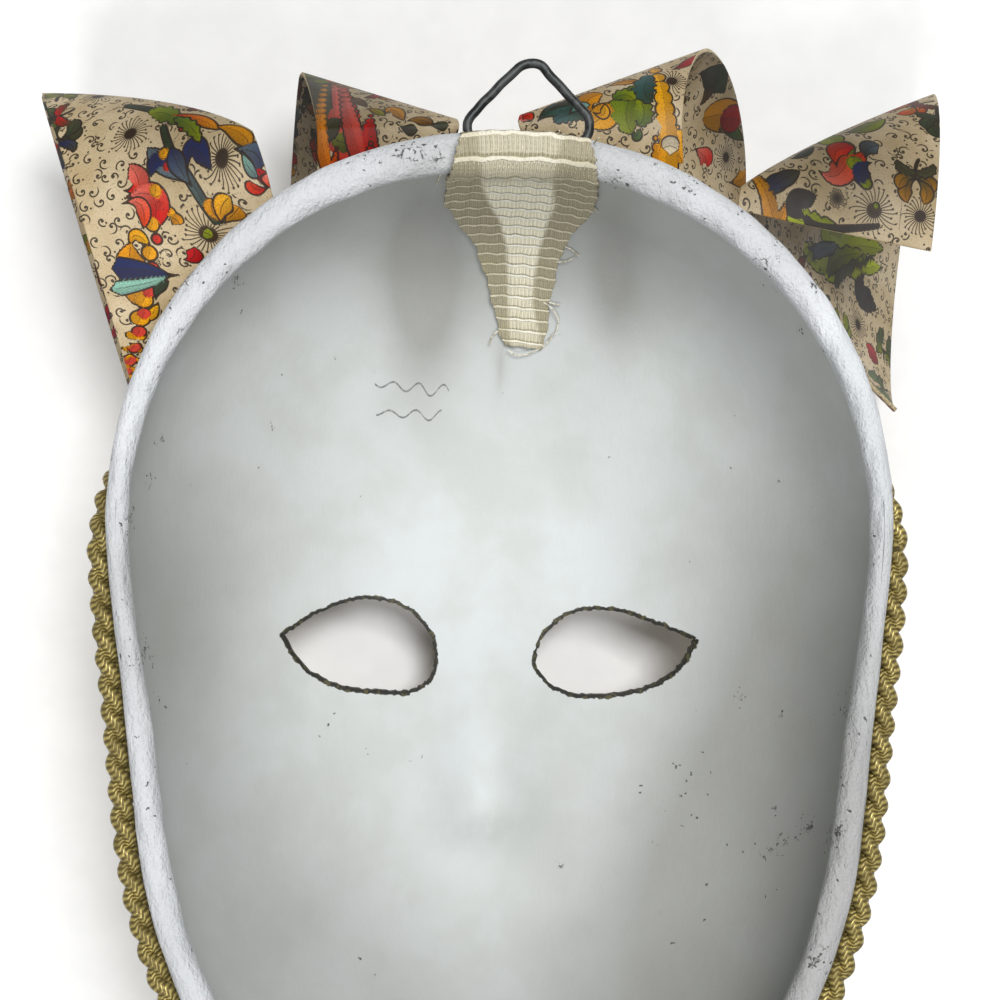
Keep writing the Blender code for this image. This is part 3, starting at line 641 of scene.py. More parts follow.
in_hollow = np.clip((k_wave - 2.05) / 0.2, 0.0, 1.0)
grid[..., 2] += in_hollow * (
    0.00022 * np.sin(grid[..., 0] * 210 + 2 * np.sin(grid[..., 1] * 90))
    + 0.00018 * np.sin(grid[..., 1] * 170 + grid[..., 0] * 120)
)
rows = len(rings) - 2
tip = skin(0.0, 0.0)
middle = skin(0.0, 3.0)
shell_points = np.concatenate([grid.reshape(-1, 3), tip[None], middle[None]])
quads = grid_faces(rows, AROUND, True)
first = np.arange(AROUND)
following = (first + 1) % AROUND
count = rows * AROUND
last = (rows - 1) * AROUND
tip_fan = np.stack([np.full(AROUND, count), following, first], axis=-1)
back_fan = np.stack([last + first, last + following, np.full(AROUND, count + 1)], axis=-1)
shell_faces = quads.tolist() + tip_fan.tolist() + back_fan.tolist()
face_ring = np.concatenate([quads[:, 0] // AROUND, np.zeros(AROUND), np.full(AROUND, rows - 1)]).astype(int)
face_k = rings[1:-1][np.minimum(face_ring, rows - 1)]

shell_finishes = [
    front_finish(),
    gesso_finish("rim_gesso", tone(238, 241, 246), tone(222, 226, 230), 0.00085, 0.022)[0],
    inner_gesso_finish(),
    cut_edge_finish(),
]
shell = add_piece("papier_mache_shell", shell_points, shell_faces, shell_finishes)
finish_of_face = np.where(face_k < 0.999, FRONT, np.where(face_k < 2.02, RIM, HOLLOW)).astype(np.int32)
shell.data.polygons.foreach_set("material_index", finish_of_face)
prisms = []
for name, knots in (("left_eye_prism", LEFT_EYE), ("right_eye_prism", RIGHT_EYE)):
    prism = eye_prism(name, knots, shell_finishes)
    cut = shell.modifiers.new(name, "BOOLEAN")
    cut.operation = "DIFFERENCE"
    cut.solver = "EXACT"
    cut.object = prism
    prisms.append(prism)
cut_mesh = finished_mesh(shell)
shell.modifiers.clear()
shell.data = cut_mesh
shell.data.name = "papier_mache_shell"
for prism in prisms:
    bpy.data.objects.remove(prism)
cut_mesh.shade_smooth()
cut_mesh.set_sharp_from_angle(angle=math.radians(42))

places = values_of(cut_mesh.vertices, "co", 3) - drawing_origin
plan_x, plan_y, plan_z = places.T
from_eyes = away_from_cut(plan_x, plan_y, cut_mesh)
lip_half = 0.0072 * np.clip(1.0 - (plan_x / MOUTH_HALF_WIDTH) ** 2, 0.0, 1.0) ** 0.7 + 0.00001
lip_zone = np.exp(-(((plan_y - MOUTH_LINE_Y + 0.0006) / lip_half) ** 4))
spots = seen_at(places)
add_values(cut_mesh, "wear", np.clip(1.7 * near_places(spots, CRUMBLED), 0.0, 1.0))
# Painted shade: the hollow's walls are greyed towards the outline, less at the forehead, and more on the
# lower right than on the lower left.
painted_wall_shade = np.clip((np.hypot(plan_x / 0.080, (plan_y + 0.045) / 0.118) - 0.28) / 0.62, 0.0, 1.0)
painted_wall_shade = painted_wall_shade**2 * (3 - 2 * painted_wall_shade) * np.clip((0.045 - plan_y) / 0.06, 0.15, 1.0)
uneven = 0.62 + 0.18 * np.clip(plan_x / 0.05, -1, 1) * np.clip((-0.02 - plan_y) / 0.04, 0, 1)
add_values(cut_mesh, "shade", np.clip(near_places(spots, PAINTED_SHADE_PATCHES) + painted_wall_shade * uneven, 0, 1))
add_values(cut_mesh, "from_eyes", from_eyes)
add_values(cut_mesh, "black", np.clip(1.35 - from_eyes / 0.0065, 0.0, 1.0))
add_values(cut_mesh, "gilt", np.clip(np.maximum(1.3 - from_eyes / 0.0125, lip_zone), 0.0, 1.0))
add_values(cut_mesh, "gessoed", np.clip((plan_z - 0.066) / 0.012, 0.0, 1.0))
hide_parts("mask_shell")

# Paper cornets
# Four sheets of stiff paper printed in the Florentine manner, each rolled to a cone that opens away
# from the middle of the crown, and glued to the wall under the rim. The print is on both faces.
CARD = 0.0009
CORNET_RISE = 0.033
CORNET_TIP_Z = 0.069
TIP_CUT = 0.075

# Each roll: its side, its tip and the middle of its mouth in the plan, the mouth's half width, the power
# by which it swells, its lean, its first angle and sweep in degrees, and how sharp its outer crease is.
Cornet = namedtuple("Cornet", "side tip mouth across swell tilt start sweep crease")
CORNETS = {
    "paper_cornet_top_left": Cornet(
        -1, (0.0035, 0.0820), (0.0445, 0.0808), 0.0227, 1.0, 0.16, -172, 344, 0.75
    ),
    "paper_cornet_top_right": Cornet(
        1, (-0.0005, 0.0835), (0.0548, 0.0825), 0.0261, 1.0, 0.42, -172, 344, 0.0
    ),
    "paper_cornet_side_left": Cornet(
        -1, (0.0535, 0.0815), (0.1045, 0.0660), 0.0410, 0.62, 0.16, -172, 344, 0.25
    ),
    "paper_cornet_side_right": Cornet(
        1, (0.0570, 0.0715), (0.1120, 0.0655), 0.0400, 0.80, 0.16, -180, 277, 0.0
    ),
}

# Inks of the print, as screen colours.
INKS = {
    "red": (196, 44, 48), "coral": (224, 96, 76), "pink": (232, 138, 126), "wine": (128, 30, 36),
    "orange": (226, 150, 38), "ochre": (176, 122, 44), "gold": (236, 176, 56), "olive": (134, 144, 42),
    "green": (78, 104, 44), "forest": (44, 60, 40), "teal": (52, 92, 92), "slate": (92, 106, 112),
    "navy": (36, 44, 84), "black": (34, 30, 28), "mint": (146, 190, 172), "cream": (226, 212, 184),
    "brown": (96, 66, 36), "moss": (62, 62, 36), "lime": (184, 196, 48),
}

# The printed forms of each sheet: layer, shape, three points of its spine as pixels of the picture, half
# width in millimetres, ink at its root and ink at its tip.
PRINT = {
    "paper_cornet_side_left": [
        (0, "stem", (219, 228), (198, 196), (181, 166), 0.75, "forest", "slate"),
        (0, "stem", (181, 166), (168, 146), (161, 122), 0.55, "forest", "forest"),
        (0, "stem", (125, 103), (145, 106), (172, 114), 0.60, "forest", "forest"),
        (0, "petal", (188, 182), (165, 164), (146, 146), 1.35, "slate", "slate"),
        (0, "petal", (180, 172), (158, 158), (150, 174), 1.25, "navy", "navy"),
        (0, "petal", (186, 176), (190, 146), (209, 170), 1.50, "navy", "navy"),
        (1, "petal", (190, 188), (177, 166), (171, 145), 1.30, "slate", "navy"),
        (0, "leaf", (150, 112), (164, 110), (180, 122), 2.00, "olive", "green"),
        (1, "leaf", (174, 116), (188, 124), (200, 140), 1.10, "green", "olive"),
        (0, "petal", (170, 112), (195, 116), (219, 127), 0.95, "red", "orange"),
        (0, "petal", (214, 124), (236, 128), (250, 146), 1.20, "orange", "ochre"),
        (0, "petal", (234, 146), (252, 150), (264, 168), 1.25, "slate", "navy"),
        (1, "petal", (240, 148), (246, 168), (258, 180), 0.75, "mint", "slate"),
        (0, "petal", (269, 190), (256, 192), (248, 183), 0.95, "red", "coral"),
        (0, "petal", (268, 190), (262, 180), (256, 171), 0.95, "wine", "red"),
        (1, "petal", (269, 190), (274, 183), (272, 174), 0.75, "coral", "pink"),
        (0, "petal", (224, 226), (214, 214), (212, 201), 1.10, "ochre", "orange"),
        (0, "petal", (224, 226), (233, 216), (239, 210), 1.30, "ochre", "orange"),
        (1, "petal", (223, 226), (223, 210), (230, 199), 1.15, "orange", "gold"),
        (0, "bead", (136, 190), (141, 194), (146, 198), 1.25, "orange", "gold"),
        (0, "bead", (146, 198), (151, 202), (156, 206), 1.15, "orange", "gold"),
        (0, "bead", (155, 205), (160, 209), (165, 213), 1.10, "orange", "gold"),
        (0, "bead", (164, 212), (168, 216), (172, 219), 1.00, "orange", "gold"),
        (0, "bead", (172, 219), (176, 223), (180, 227), 0.95, "ochre", "orange"),
        (0, "petal", (122, 190), (136, 184), (129, 161), 1.70, "red", "pink"),
        (0, "petal", (120, 199), (150, 198), (152, 232), 2.10, "pink", "red"),
        (1, "petal", (120, 204), (138, 206), (142, 230), 1.10, "pink", "coral"),
        (0, "petal", (178, 277), (136, 272), (131, 246), 2.20, "ochre", "orange"),
        (0, "petal", (130, 252), (134, 238), (149, 247), 0.95, "orange", "gold"),
        (0, "petal", (178, 278), (140, 284), (144, 310), 2.00, "ochre", "orange"),
        (0, "petal", (142, 304), (148, 318), (158, 305), 0.85, "orange", "gold"),
        (1, "wedge", (110, 270), (140, 272), (170, 278), 1.90, "navy", "navy"),
        (1, "wedge", (108, 292), (142, 286), (170, 279), 1.25, "mint", "mint"),
        (1, "petal", (156, 302), (158, 292), (170, 284), 0.70, "forest", "forest"),
        (0, "petal", (184, 262), (192, 260), (194, 250), 1.15, "red", "red"),
        (0, "petal", (118, 356), (134, 344), (138, 334), 1.60, "orange", "gold"),
        (0, "petal", (116, 370), (134, 356), (130, 345), 1.20, "red", "pink"),
        (0, "bead", (203, 234), (208, 236), (213, 239), 0.90, "olive", "olive"),
    ],
    "paper_cornet_top_left": [
        (0, "petal", (298, 84), (316, 84), (342, 100), 1.70, "black", "forest"),
        (0, "petal", (296, 106), (316, 94), (334, 96), 1.30, "slate", "forest"),
        (0, "petal", (300, 100), (294, 88), (300, 76), 0.90, "wine", "brown"),
        (1, "bead", (299, 118), (317, 108), (337, 114), 2.30, "moss", "moss"),
        (0, "petal", (282, 128), (289, 112), (296, 102), 1.50, "forest", "slate"),
        (0, "petal", (279, 140), (287, 132), (295, 122), 1.10, "navy", "forest"),
        (0, "petal", (276, 168), (287, 160), (297, 156), 1.50, "red", "wine"),
        (0, "petal", (272, 180), (284, 174), (296, 172), 1.00, "ochre", "orange"),
        (0, "petal", (297, 128), (352, 134), (372, 108), 2.05, "coral", "red"),
        (1, "petal", (298, 129), (350, 128), (370, 139), 1.60, "pink", "red"),
        (0, "petal", (297, 131), (334, 136), (333, 160), 2.50, "pink", "red"),
        (1, "petal", (298, 131), (318, 133), (336, 143), 1.15, "gold", "coral"),
        (0, "petal", (324, 134), (340, 144), (354, 149), 1.50, "olive", "moss"),
        (0, "petal", (344, 95), (355, 97), (366, 104), 0.90, "brown", "brown"),
        (0, "petal", (384, 112), (393, 107), (403, 118), 1.25, "orange", "ochre"),
        (0, "petal", (398, 128), (406, 131), (416, 133), 0.85, "black", "moss"),
        (0, "petal", (408, 118), (419, 117), (431, 125), 1.10, "ochre", "brown"),
        (0, "petal", (428, 125), (438, 127), (447, 128), 0.80, "forest", "moss"),
        (0, "petal", (366, 106), (376, 108), (384, 113), 0.80, "ochre", "olive"),
    ],
    "paper_cornet_top_right": [
        (0, "petal", (532, 123), (520, 115), (507, 119), 1.40, "pink", "red"),
        (1, "petal", (532, 123), (529, 114), (521, 108), 1.00, "coral", "red"),
        (0, "petal", (540, 122), (556, 106), (582, 104), 1.60, "forest", "teal"),
        (0, "leaf", (556, 124), (572, 112), (592, 118), 1.30, "teal", "forest"),
        (0, "petal", (545, 109), (566, 100), (594, 91), 0.90, "black", "forest"),
        (1, "petal", (570, 112), (578, 104), (590, 102), 0.80, "teal", "mint"),
        (0, "petal", (596, 112), (588, 98), (602, 91), 1.70, "ochre", "orange"),
        (1, "petal", (594, 110), (604, 112), (605, 101), 0.80, "orange", "gold"),
        (0, "petal", (589, 130), (600, 116), (624, 103), 2.10, "gold", "orange"),
        (0, "leaf", (644, 84), (628, 106), (634, 136), 2.70, "green", "olive"),
        (1, "leaf", (636, 98), (624, 92), (613, 97), 1.50, "olive", "green"),
        (0, "leaf", (640, 96), (646, 112), (641, 126), 1.60, "olive", "green"),
        (1, "leaf", (650, 72), (644, 88), (654, 99), 1.90, "teal", "forest"),
        (0, "petal", (634, 132), (638, 138), (643, 130), 0.80, "forest", "green"),
        (0, "petal", (606, 84), (622, 80), (640, 78), 0.85, "orange", "ochre"),
        (0, "maple", (684, 164), (676, 147), (668, 128), 2.90, "orange", "gold"),
        (0, "petal", (690, 152), (668, 148), (656, 130), 2.00, "gold", "orange"),
        (1, "bead", (665, 151), (672, 148), (680, 151), 1.50, "cream", "cream"),
        (1, "petal", (694, 150), (704, 158), (707, 168), 2.10, "pink", "red"),
        (0, "petal", (672, 67), (686, 61), (699, 55), 0.90, "wine", "red"),
        (0, "bead", (702, 120), (722, 117), (748, 121), 3.00, "ochre", "orange"),
        (1, "bead", (720, 117), (732, 117), (752, 122), 2.50, "wine", "red"),
        (0, "petal", (698, 72), (712, 74), (724, 92), 2.50, "black", "forest"),
        (0, "petal", (698, 108), (705, 96), (709, 86), 1.30, "brown", "black"),
        (0, "petal", (714, 130), (728, 130), (745, 142), 1.10, "forest", "green"),
        (0, "petal", (728, 184), (742, 180), (750, 170), 1.90, "ochre", "orange"),
    ],
    "paper_cornet_side_right": [
        (0, "petal", (819, 168), (838, 172), (853, 148), 2.00, "pink", "coral"),
        (1, "petal", (836, 164), (836, 148), (853, 145), 1.70, "coral", "red"),
        (0, "petal", (845, 161), (857, 158), (864, 149), 1.00, "red", "coral"),
        (0, "petal", (855, 164), (862, 172), (864, 186), 1.30, "navy", "navy"),
        (0, "petal", (864, 156), (868, 146), (880, 143), 1.50, "black", "slate"),
        (0, "petal", (766, 198), (774, 182), (793, 171), 1.30, "forest", "navy"),
        (0, "petal", (790, 156), (802, 152), (812, 144), 0.90, "black", "forest"),
        (0, "petal", (774, 221), (772, 204), (787, 199), 1.40, "ochre", "orange"),
        (1, "petal", (808, 220), (798, 204), (818, 193), 1.80, "black", "black"),
        (1, "stem", (809, 216), (826, 230), (884, 227), 0.50, "black", "black"),
        (0, "leaf", (796, 212), (806, 224), (838, 228), 1.90, "lime", "olive"),
        (0, "leaf", (800, 244), (830, 236), (886, 232), 3.40, "lime", "olive"),
        (0, "leaf", (806, 252), (840, 262), (884, 268), 2.40, "olive", "lime"),
        (0, "leaf", (838, 290), (842, 272), (872, 262), 1.70, "moss", "moss"),
        (1, "petal", (806, 246), (820, 250), (838, 244), 1.10, "navy", "slate"),
        (0, "petal", (872, 160), (862, 166), (866, 182), 1.40, "navy", "navy"),
        (0, "petal", (768, 190), (782, 178), (800, 168), 1.20, "navy", "moss"),
        (0, "petal", (842, 130), (862, 126), (884, 116), 1.60, "moss", "olive"),
        (0, "leaf", (816, 264), (846, 246), (884, 250), 2.60, "lime", "olive"),
        (1, "leaf", (828, 278), (838, 258), (864, 254), 1.80, "moss", "olive"),
        (1, "petal", (812, 262), (817, 252), (830, 248), 1.20, "navy", "slate"),
        (0, "petal", (866, 272), (860, 290), (876, 308), 2.60, "black", "black"),
        (0, "petal", (864, 342), (870, 352), (878, 366), 1.80, "red", "wine"),
    ],
}

# The forms are this much wider than their measured half widths, so that they fill the paper.
PRINT_SPREAD = 1.55

# The filling between them: tries, least distance apart and farthest from a point of the sheet's grid,
# share and radius of ray flowers, and its inks.
FILLER_TRIES = 420
FILLER_APART = 0.0080
FILLER_OFF_SHEET = 0.0008
RAY_SHARE = 0.22
RAY_RADIUS = 0.0050
FILLER_INKS = ["red", "wine", "orange", "olive", "green", "forest", "navy", "ochre", "moss", "coral"]

# How far beyond its edge a form is felt, and how far inside its edge it covers earlier ones.
FORM_REACH = 0.0010
FORM_COVERS = 0.00005

# Painted shade on each printed sheet, where it lies in shade: pixel of the picture, reach across and down,
# strength.
PAINTED_PAPER_SHADE = {
    "paper_cornet_side_left": [(190, 130, 80, 75, 0.38)],
    "paper_cornet_top_left": [(335, 115, 130, 90, 0.50)],
    "paper_cornet_top_right": [(620, 100, 120, 80, 0.26), (738, 130, 34, 90, 0.55)],
    "paper_cornet_side_right": [(840, 165, 120, 80, 0.62), (860, 300, 80, 90, 0.18)],
}

# The ray flowers of each sheet: pixel of the picture and radius in millimetres.
RAY_FLOWERS = {
    "paper_cornet_side_left": [(220, 156, 5.6), (129, 131, 5.2), (209, 237, 6.5), (150, 262, 2.6)],
    "paper_cornet_top_left": [(336, 108, 5.6), (288, 146, 3.0)],
    "paper_cornet_top_right": [(671, 78, 4.8), (725, 159, 4.9)],
    "paper_cornet_side_right": [(857, 325, 5.2), (876, 208, 6.4), (838, 196, 2.4)],
}


def cornet_surface(form, u, v):
    """Point of a rolled sheet: from the tip by the share v to the mouth's centre, plus an oval of the
    mouth's half axes times v, whose sideways part may swell as a power of v and be creased outside."""
    apex = np.array([*form.tip, CORNET_TIP_Z])
    centre = np.array([*form.mouth, CORNET_RISE])
    forward = unit((centre - apex) * (1, 1, 0))
    outward = np.array([-forward[1], forward[0], 0.0])
    reach = np.cos(u)
    pinched = np.sign(reach) * (1 - np.abs(np.sin(u)) ** 1.25)
    reach = np.where(reach > 0, (1 - form.crease) * reach + form.crease * pinched, reach)[:, None]
    upward = np.array([0.0, 0.0, 1.0]) - form.tilt * forward
    v = v[:, None, None]
    grid = apex + v * (centre - apex) + v**form.swell * form.across * reach * outward
    grid = grid + v * CORNET_RISE * np.sin(u)[:, None] * upward
    return grid * (form.side, 1, 1)


def seated_shift(name, form):
    """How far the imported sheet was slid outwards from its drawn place: the least-squares fit of its
    outer x and high y to those of the same coarse sheet."""
    turns = np.radians(form.start + form.sweep * np.linspace(0, 1, 23))
    coarse = cornet_surface(form, turns, np.linspace(TIP_CUT, 1, 7))
    low, high = (np.array(corner) - drawing_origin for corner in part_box(name))
    away = unit(np.array([form.side * form.mouth[0], form.mouth[1] - WIDEST_Y]))
    drawn = np.array([form.side * (coarse[..., 0] * form.side).max(), coarse[..., 1].max()])
    packed = np.array([high[0] if form.side > 0 else low[0], high[1]])
    return np.append(away * float((packed - drawn) @ away), 0.0)


def unrolled(grid, upper):
    """The sheet laid flat: each line from the tip keeps its length, and the angle between neighbouring
    lines adds up round the roll, from 0 at the column that runs along the top."""
    tip = grid[0].mean(axis=0) - 0.081 * (grid[-1].mean(axis=0) - grid[0].mean(axis=0))
    lines = grid - tip
    length = np.linalg.norm(lines, axis=-1)
    mouth = unit(lines[-1])
    turn = np.arccos(np.clip((mouth[1:] * mouth[:-1]).sum(axis=-1), -1, 1))
    turn = np.concatenate([[0.0], np.cumsum(turn)])
    turn = turn - turn[upper]
    return np.stack([length * np.cos(turn), length * np.sin(turn)], axis=-1).reshape(-1, 2)


def printed_shape(flat, spine, half_width, kind):
    """Signed distance to a printed form, the distance from its spine with a sign for the side, and the
    share along it. The spine is a parabola through three points; the form's half width is a profile
    of the share s, such as sin(pi s^1.5) for a petal, with teeth cut by a triangle wave for a leaf."""
    s = np.linspace(0, 1, 34)
    first, middle, last = (np.asarray(point) for point in spine)
    pull = 2 * middle - (first + last) / 2
    line = np.outer((1 - s) ** 2, first) + np.outer(2 * s * (1 - s), pull) + np.outer(s**2, last)
    heading = unit(np.gradient(line, axis=0))
    offset = flat[:, None, :] - line[None, :, :]
    square = (offset**2).sum(axis=-1)
    nearest = square.argmin(axis=1)
    rows = np.arange(len(flat))
    distance = np.sqrt(square[rows, nearest])
    near = offset[rows, nearest]
    side = heading[nearest, 0] * near[:, 1] - heading[nearest, 1] * near[:, 0]
    s = s[nearest]
    teeth = 1 - 2 * np.abs((s * 5) % 1 - 0.35)
    profile = {
        "petal": np.sin(math.pi * s**1.5) ** 0.8,
        "leaf": np.sin(math.pi * s**0.85) ** 0.6 * (0.72 + 0.34 * teeth),
        "maple": np.sin(math.pi * s**0.8) ** 0.4 * (0.68 + 0.42 * teeth),
        "stem": np.clip(4 * s * (1 - s), 0, 1) ** 0.15,
        "wedge": (1 - s) ** 0.6 * np.clip(8 * s, 0, 1),
        "bead": np.sqrt(np.clip(1 - (2 * s - 1) ** 2, 0, 1)),
    }[kind]
    return distance - half_width * profile, np.where(side > 0, distance, -distance), s


def filler_flower(middle, turn, root, tip_ink, leafy):
    """The forms of a small flower: four petals in a fan, a stem behind them and two leaves beside it."""
    forms = []
    for petal in range(4):
        lean = turn + (petal - 1.5) * 0.62
        reach = 0.0062 if petal in (1, 2) else 0.0050
        way = np.array([math.cos(lean), math.sin(lean)])
        bend = np.array([-way[1], way[0]]) * 0.0016 * (1 if petal > 1.5 else -1)
        spine = [middle, middle + way * reach / 2 + bend, middle + way * reach]
        forms.append((petal % 2, "petal", spine, 0.0017, root, tip_ink))
    way = -np.array([math.cos(turn), math.sin(turn)])
    bend = np.array([-way[1], way[0]])
    spine = [middle, middle + way * 0.003, middle + way * 0.0055 + bend * 0.001]
    forms.append((0, "stem", spine, 0.0003, "forest", "forest"))
    for hand in (-1, 1):
        end = middle + way * 0.0045 + bend * 0.0042 * hand
        spine = [middle + way * 0.0015, (middle + end) / 2 + bend * 0.001 * hand, end]
        forms.append((1, "leaf", spine, 0.0015, leafy, "moss"))
    return forms


def print_sheet(name, mesh, flat, seen, height):
    """Lays the sheet's print out on its flat form, and stores for each point: the flat place, each
    layer's signed distance, side and share, each layer's ink, and the way to the nearest ray flower."""

    def place_of(spot):
        away = np.hypot(seen[:, 0] - spot[0], seen[:, 1] - spot[1])
        close = np.flatnonzero(away < max(3.0, away.min() + 0.5))
        return flat[close[height[close].argmax()]]

    total = len(flat)
    shapes = np.full((2, total, 3), 0.02)
    inks = np.full((2, total, 4), 1.0)
    flowers = [(*place_of(spot), spot[2] / 1000) for spot in RAY_FLOWERS[name]]
    forms = []
    for layer, kind, *spots, width, root, tip_ink in PRINT[name]:
        spine = [place_of(spot) for spot in spots]
        forms.append((layer, kind, spine, width * PRINT_SPREAD / 1000, root, tip_ink))
    chance = np.random.default_rng(len(name))
    low, high = flat.min(axis=0), flat.max(axis=0)
    taken = [point for form in forms for point in form[2]] + [flower[:2] for flower in flowers]
    for _ in range(FILLER_TRIES):
        middle = low + (high - low) * chance.random(2)
        turn = chance.random() * 2 * math.pi
        inks_here = [FILLER_INKS[i] for i in chance.integers(0, len(FILLER_INKS), 3)]
        if np.hypot(*(np.array(taken) - middle).T).min() < FILLER_APART:
            continue
        if np.hypot(*(flat - middle).T).min() > FILLER_OFF_SHEET:
            continue
        taken.append(middle)
        if chance.random() < RAY_SHARE:
            flowers.append((*middle, RAY_RADIUS))
        else:
            forms += filler_flower(middle, turn, *inks_here)
    for layer, kind, spine, width, root, tip_ink in forms:
        centre = np.mean(spine, axis=0)
        span = max(np.hypot(*(np.asarray(point) - centre)) for point in spine) + width + 0.002
        near = np.flatnonzero(np.hypot(*(flat - centre).T) < span)
        if not len(near):
            continue
        edge, side, share = printed_shape(flat[near], spine, width, kind)
        wins = edge < np.minimum(shapes[layer, near, 0], FORM_REACH)
        wins |= edge < -FORM_COVERS
        chosen = near[wins]
        shapes[layer, chosen] = np.stack([edge, side, share], axis=-1)[wins]
        mixed = share[wins, None]
        root_tone, tip_tone = (np.array(tone(*INKS[ink])) for ink in (root, tip_ink))
        inks[layer, chosen] = (1 - mixed) * root_tone + mixed * tip_tone
    centres = np.array(flowers)
    way = flat[:, None, :] - centres[None, :, :2]
    reach = np.hypot(way[..., 0], way[..., 1]) / centres[:, 2]
    best = reach.argmin(axis=1)
    rays = np.column_stack([way[np.arange(total), best], centres[best, 2]])
    stored_values = {"flat": np.column_stack([flat, np.zeros(total)]), "rays": rays}
    stored_values.update({"shape_low": shapes[0], "shape_high": shapes[1]})
    stored_values.update({"ink_low": inks[0], "ink_high": inks[1]})
    for key, values in stored_values.items():
        add_values(mesh, key, values)


def curls_on(flat):
    """Curls and crumbs of the print: in each Voronoi cell of the flat sheet one arm of a log spiral,
    turned and mirrored by the cell's colour, round a dot; and small dots in some of the finer cells."""
    centre = cells(flat, 290.0, 2, 0.85, voronoi_dimensions="2D")
    red, green, _ = split(cells(flat, 290.0, 1, 0.85, voronoi_dimensions="2D"), "SeparateColor")
    x, y, _ = split(node(flat.tree, "VectorMath", {0: flat, 1: centre}, operation="SUBTRACT"))
    hand = green.math("GREATER_THAN", 0.5) * 2.0 - 1.0
    radius = (x * x + y * y).math("SQRT")
    angle = (y * hand).math("ARCTAN2", x)
    pitch = 0.30
    coil = radius.math("MAXIMUM", 1e-6).math("LOGARITHM", math.e) / pitch
    phase = red * (2 * math.pi) + (coil - angle)
    phase = phase.math("WRAP", math.pi, -math.pi)
    miss = abs(phase) * (radius * pitch)
    arm = between(miss, 0.00015, 0.00023, 1.0, 0.0) * between(radius, 0.0016, 0.0018, 1.0, 0.0)
    dot = between(radius, 0.00022, 0.00032, 1.0, 0.0)
    few = split(cells(flat, 420.0, 1, voronoi_dimensions="2D"), "SeparateColor")[0]
    crumbs = between(cells(flat, 420.0, voronoi_dimensions="2D"), 0.09, 0.13, 1.0, 0.0)
    return arm.math("MAXIMUM", dot).math("MAXIMUM", crumbs * (few < 0.3))


def ray_flower(tree):
    """Ray flowers: 26 lines at even angles, of uneven length with a knob at the end, round an eye. Gives
    the lines, the eye and where a flower is."""
    x, y, reach = split(stored(tree, "rays", 1))
    radius = (x * x + y * y).math("SQRT")
    share = radius / reach
    angle = share.math("POWER", 4.0) * 0.22 + y.math("ARCTAN2", x)
    count = 26.0
    sector = angle * (count / (2 * math.pi))
    number = sector.math("FLOOR")
    across = abs(sector - number - 0.5) * (radius * (6.283 / count))
    ends = node(tree, "TexWhiteNoise", {"W": number}, noise_dimensions="1D") * 0.34 + 0.64
    ray = between(across, 0.00009, 0.00016, 1.0, 0.0) * (share < ends)
    knob = (abs(share - ends) < 0.035) * between(across, 0.00024, 0.00032, 1.0, 0.0)
    eye_line = between(abs(share - 0.26), 0.015, 0.035, 1.0, 0.0)
    lines = ray.math("MAXIMUM", knob).math("MAXIMUM", eye_line)
    return lines, between(share, 0.235, 0.26, 1.0, 0.0), between(share, 0.96, 1.02, 1.0, 0.0)


def paper_finish():
    """Printed paper: a cream ground with fine stipple, curls and ray flowers in drawing ink, and the
    printed forms, each with its ink inside the zero of the signed distance, a dark line on it, a vein on
    the spine and short hatching beside it. Painted shade darkens the whole in the places that the sheet's
    stored shade values give."""
    finish, tree, shader = new_finish("printed_paper", Specular_IOR_Level=0.25)
    flat = stored(tree, "flat", 1)
    stipple = cloud(flat, 2600.0, 3.0, 0.7)
    stained = cloud(flat, 60.0, 4.0, 0.6)
    ground = blend(between(stained, 0.3, 0.7), tone(204, 188, 160), tone(178, 160, 128))
    ground = blend(between(stipple, 0.54, 0.64, 0.0, 0.55), ground, tone(116, 98, 70))
    drawing_ink = tone(38, 29, 22)
    lines, eye, in_flower = ray_flower(tree)
    line = (curls_on(flat) * (1.0 - in_flower)).math("MAXIMUM", in_flower * lines)
    colour = blend(eye, ground, tone(88, 62, 34))
    shapes = [split(stored(tree, "shape_" + layer, 1)) for layer in ("low", "high")]
    clear = between(shapes[0][0].math("MINIMUM", shapes[1][0]), 0.00025, 0.00040)
    colour = blend(line * clear * 0.92, colour, drawing_ink)
    for layer, (edge, side, along) in zip(("low", "high"), shapes):
        ink = stored(tree, "ink_" + layer, 0)
        ink = blend(between(stipple, 0.42, 0.60, 0.0, 0.30), ink, drawing_ink)
        ink = blend(between(side, -0.0011, 0.0011, 0.34, 0.0), ink, drawing_ink)
        spine = between(abs(side), 0.00006, 0.00014, 1.0, 0.0)
        spine = spine * between(edge, -0.00100, -0.00040, 0.75, 0.0)
        slant = (abs(side) * -5200.0 + along * 95.0).math("SINE")
        hatch = between(slant, 0.55, 0.85) * between(edge, -0.00075, -0.00030, 0.0, 0.55)
        ink = blend(spine.math("MAXIMUM", hatch), ink, drawing_ink)
        colour = blend(between(edge, -0.00003, 0.00003, 1.0, 0.0), colour, ink)
        colour = blend(between(abs(edge), 0.00017, 0.00027, 0.94, 0.0), colour, drawing_ink)
    # Painted shade: the print is darkened towards near black where the sheet lies in shade.
    colour = blend(stored(tree, "paper_shade"), colour, tone(24, 19, 13))
    colour = node(tree, "HueSaturation", {"Saturation": 1.14, "Value": 1.0, "Color": colour})
    feed(shader, Base_Color=colour, Roughness=between(stained, 0.3, 0.7, 0.42, 0.58))
    rough_skin(shader, cloud(flat, 420.0, 4.0, 0.6), 0.00006)
    return finish


def fibre_finish(name, noise, limits, pale, dark):
    """Bare fibre: a pale colour with darker flecks of soft noise, which roughens it too."""
    finish, tree, shader = new_finish(name, Roughness=0.8)
    flecks = cloud(own_place(tree), *noise)
    feed(shader, Base_Color=blend(between(flecks, *limits), pale, dark))
    rough_skin(shader, flecks, 0.0001)
    return finish


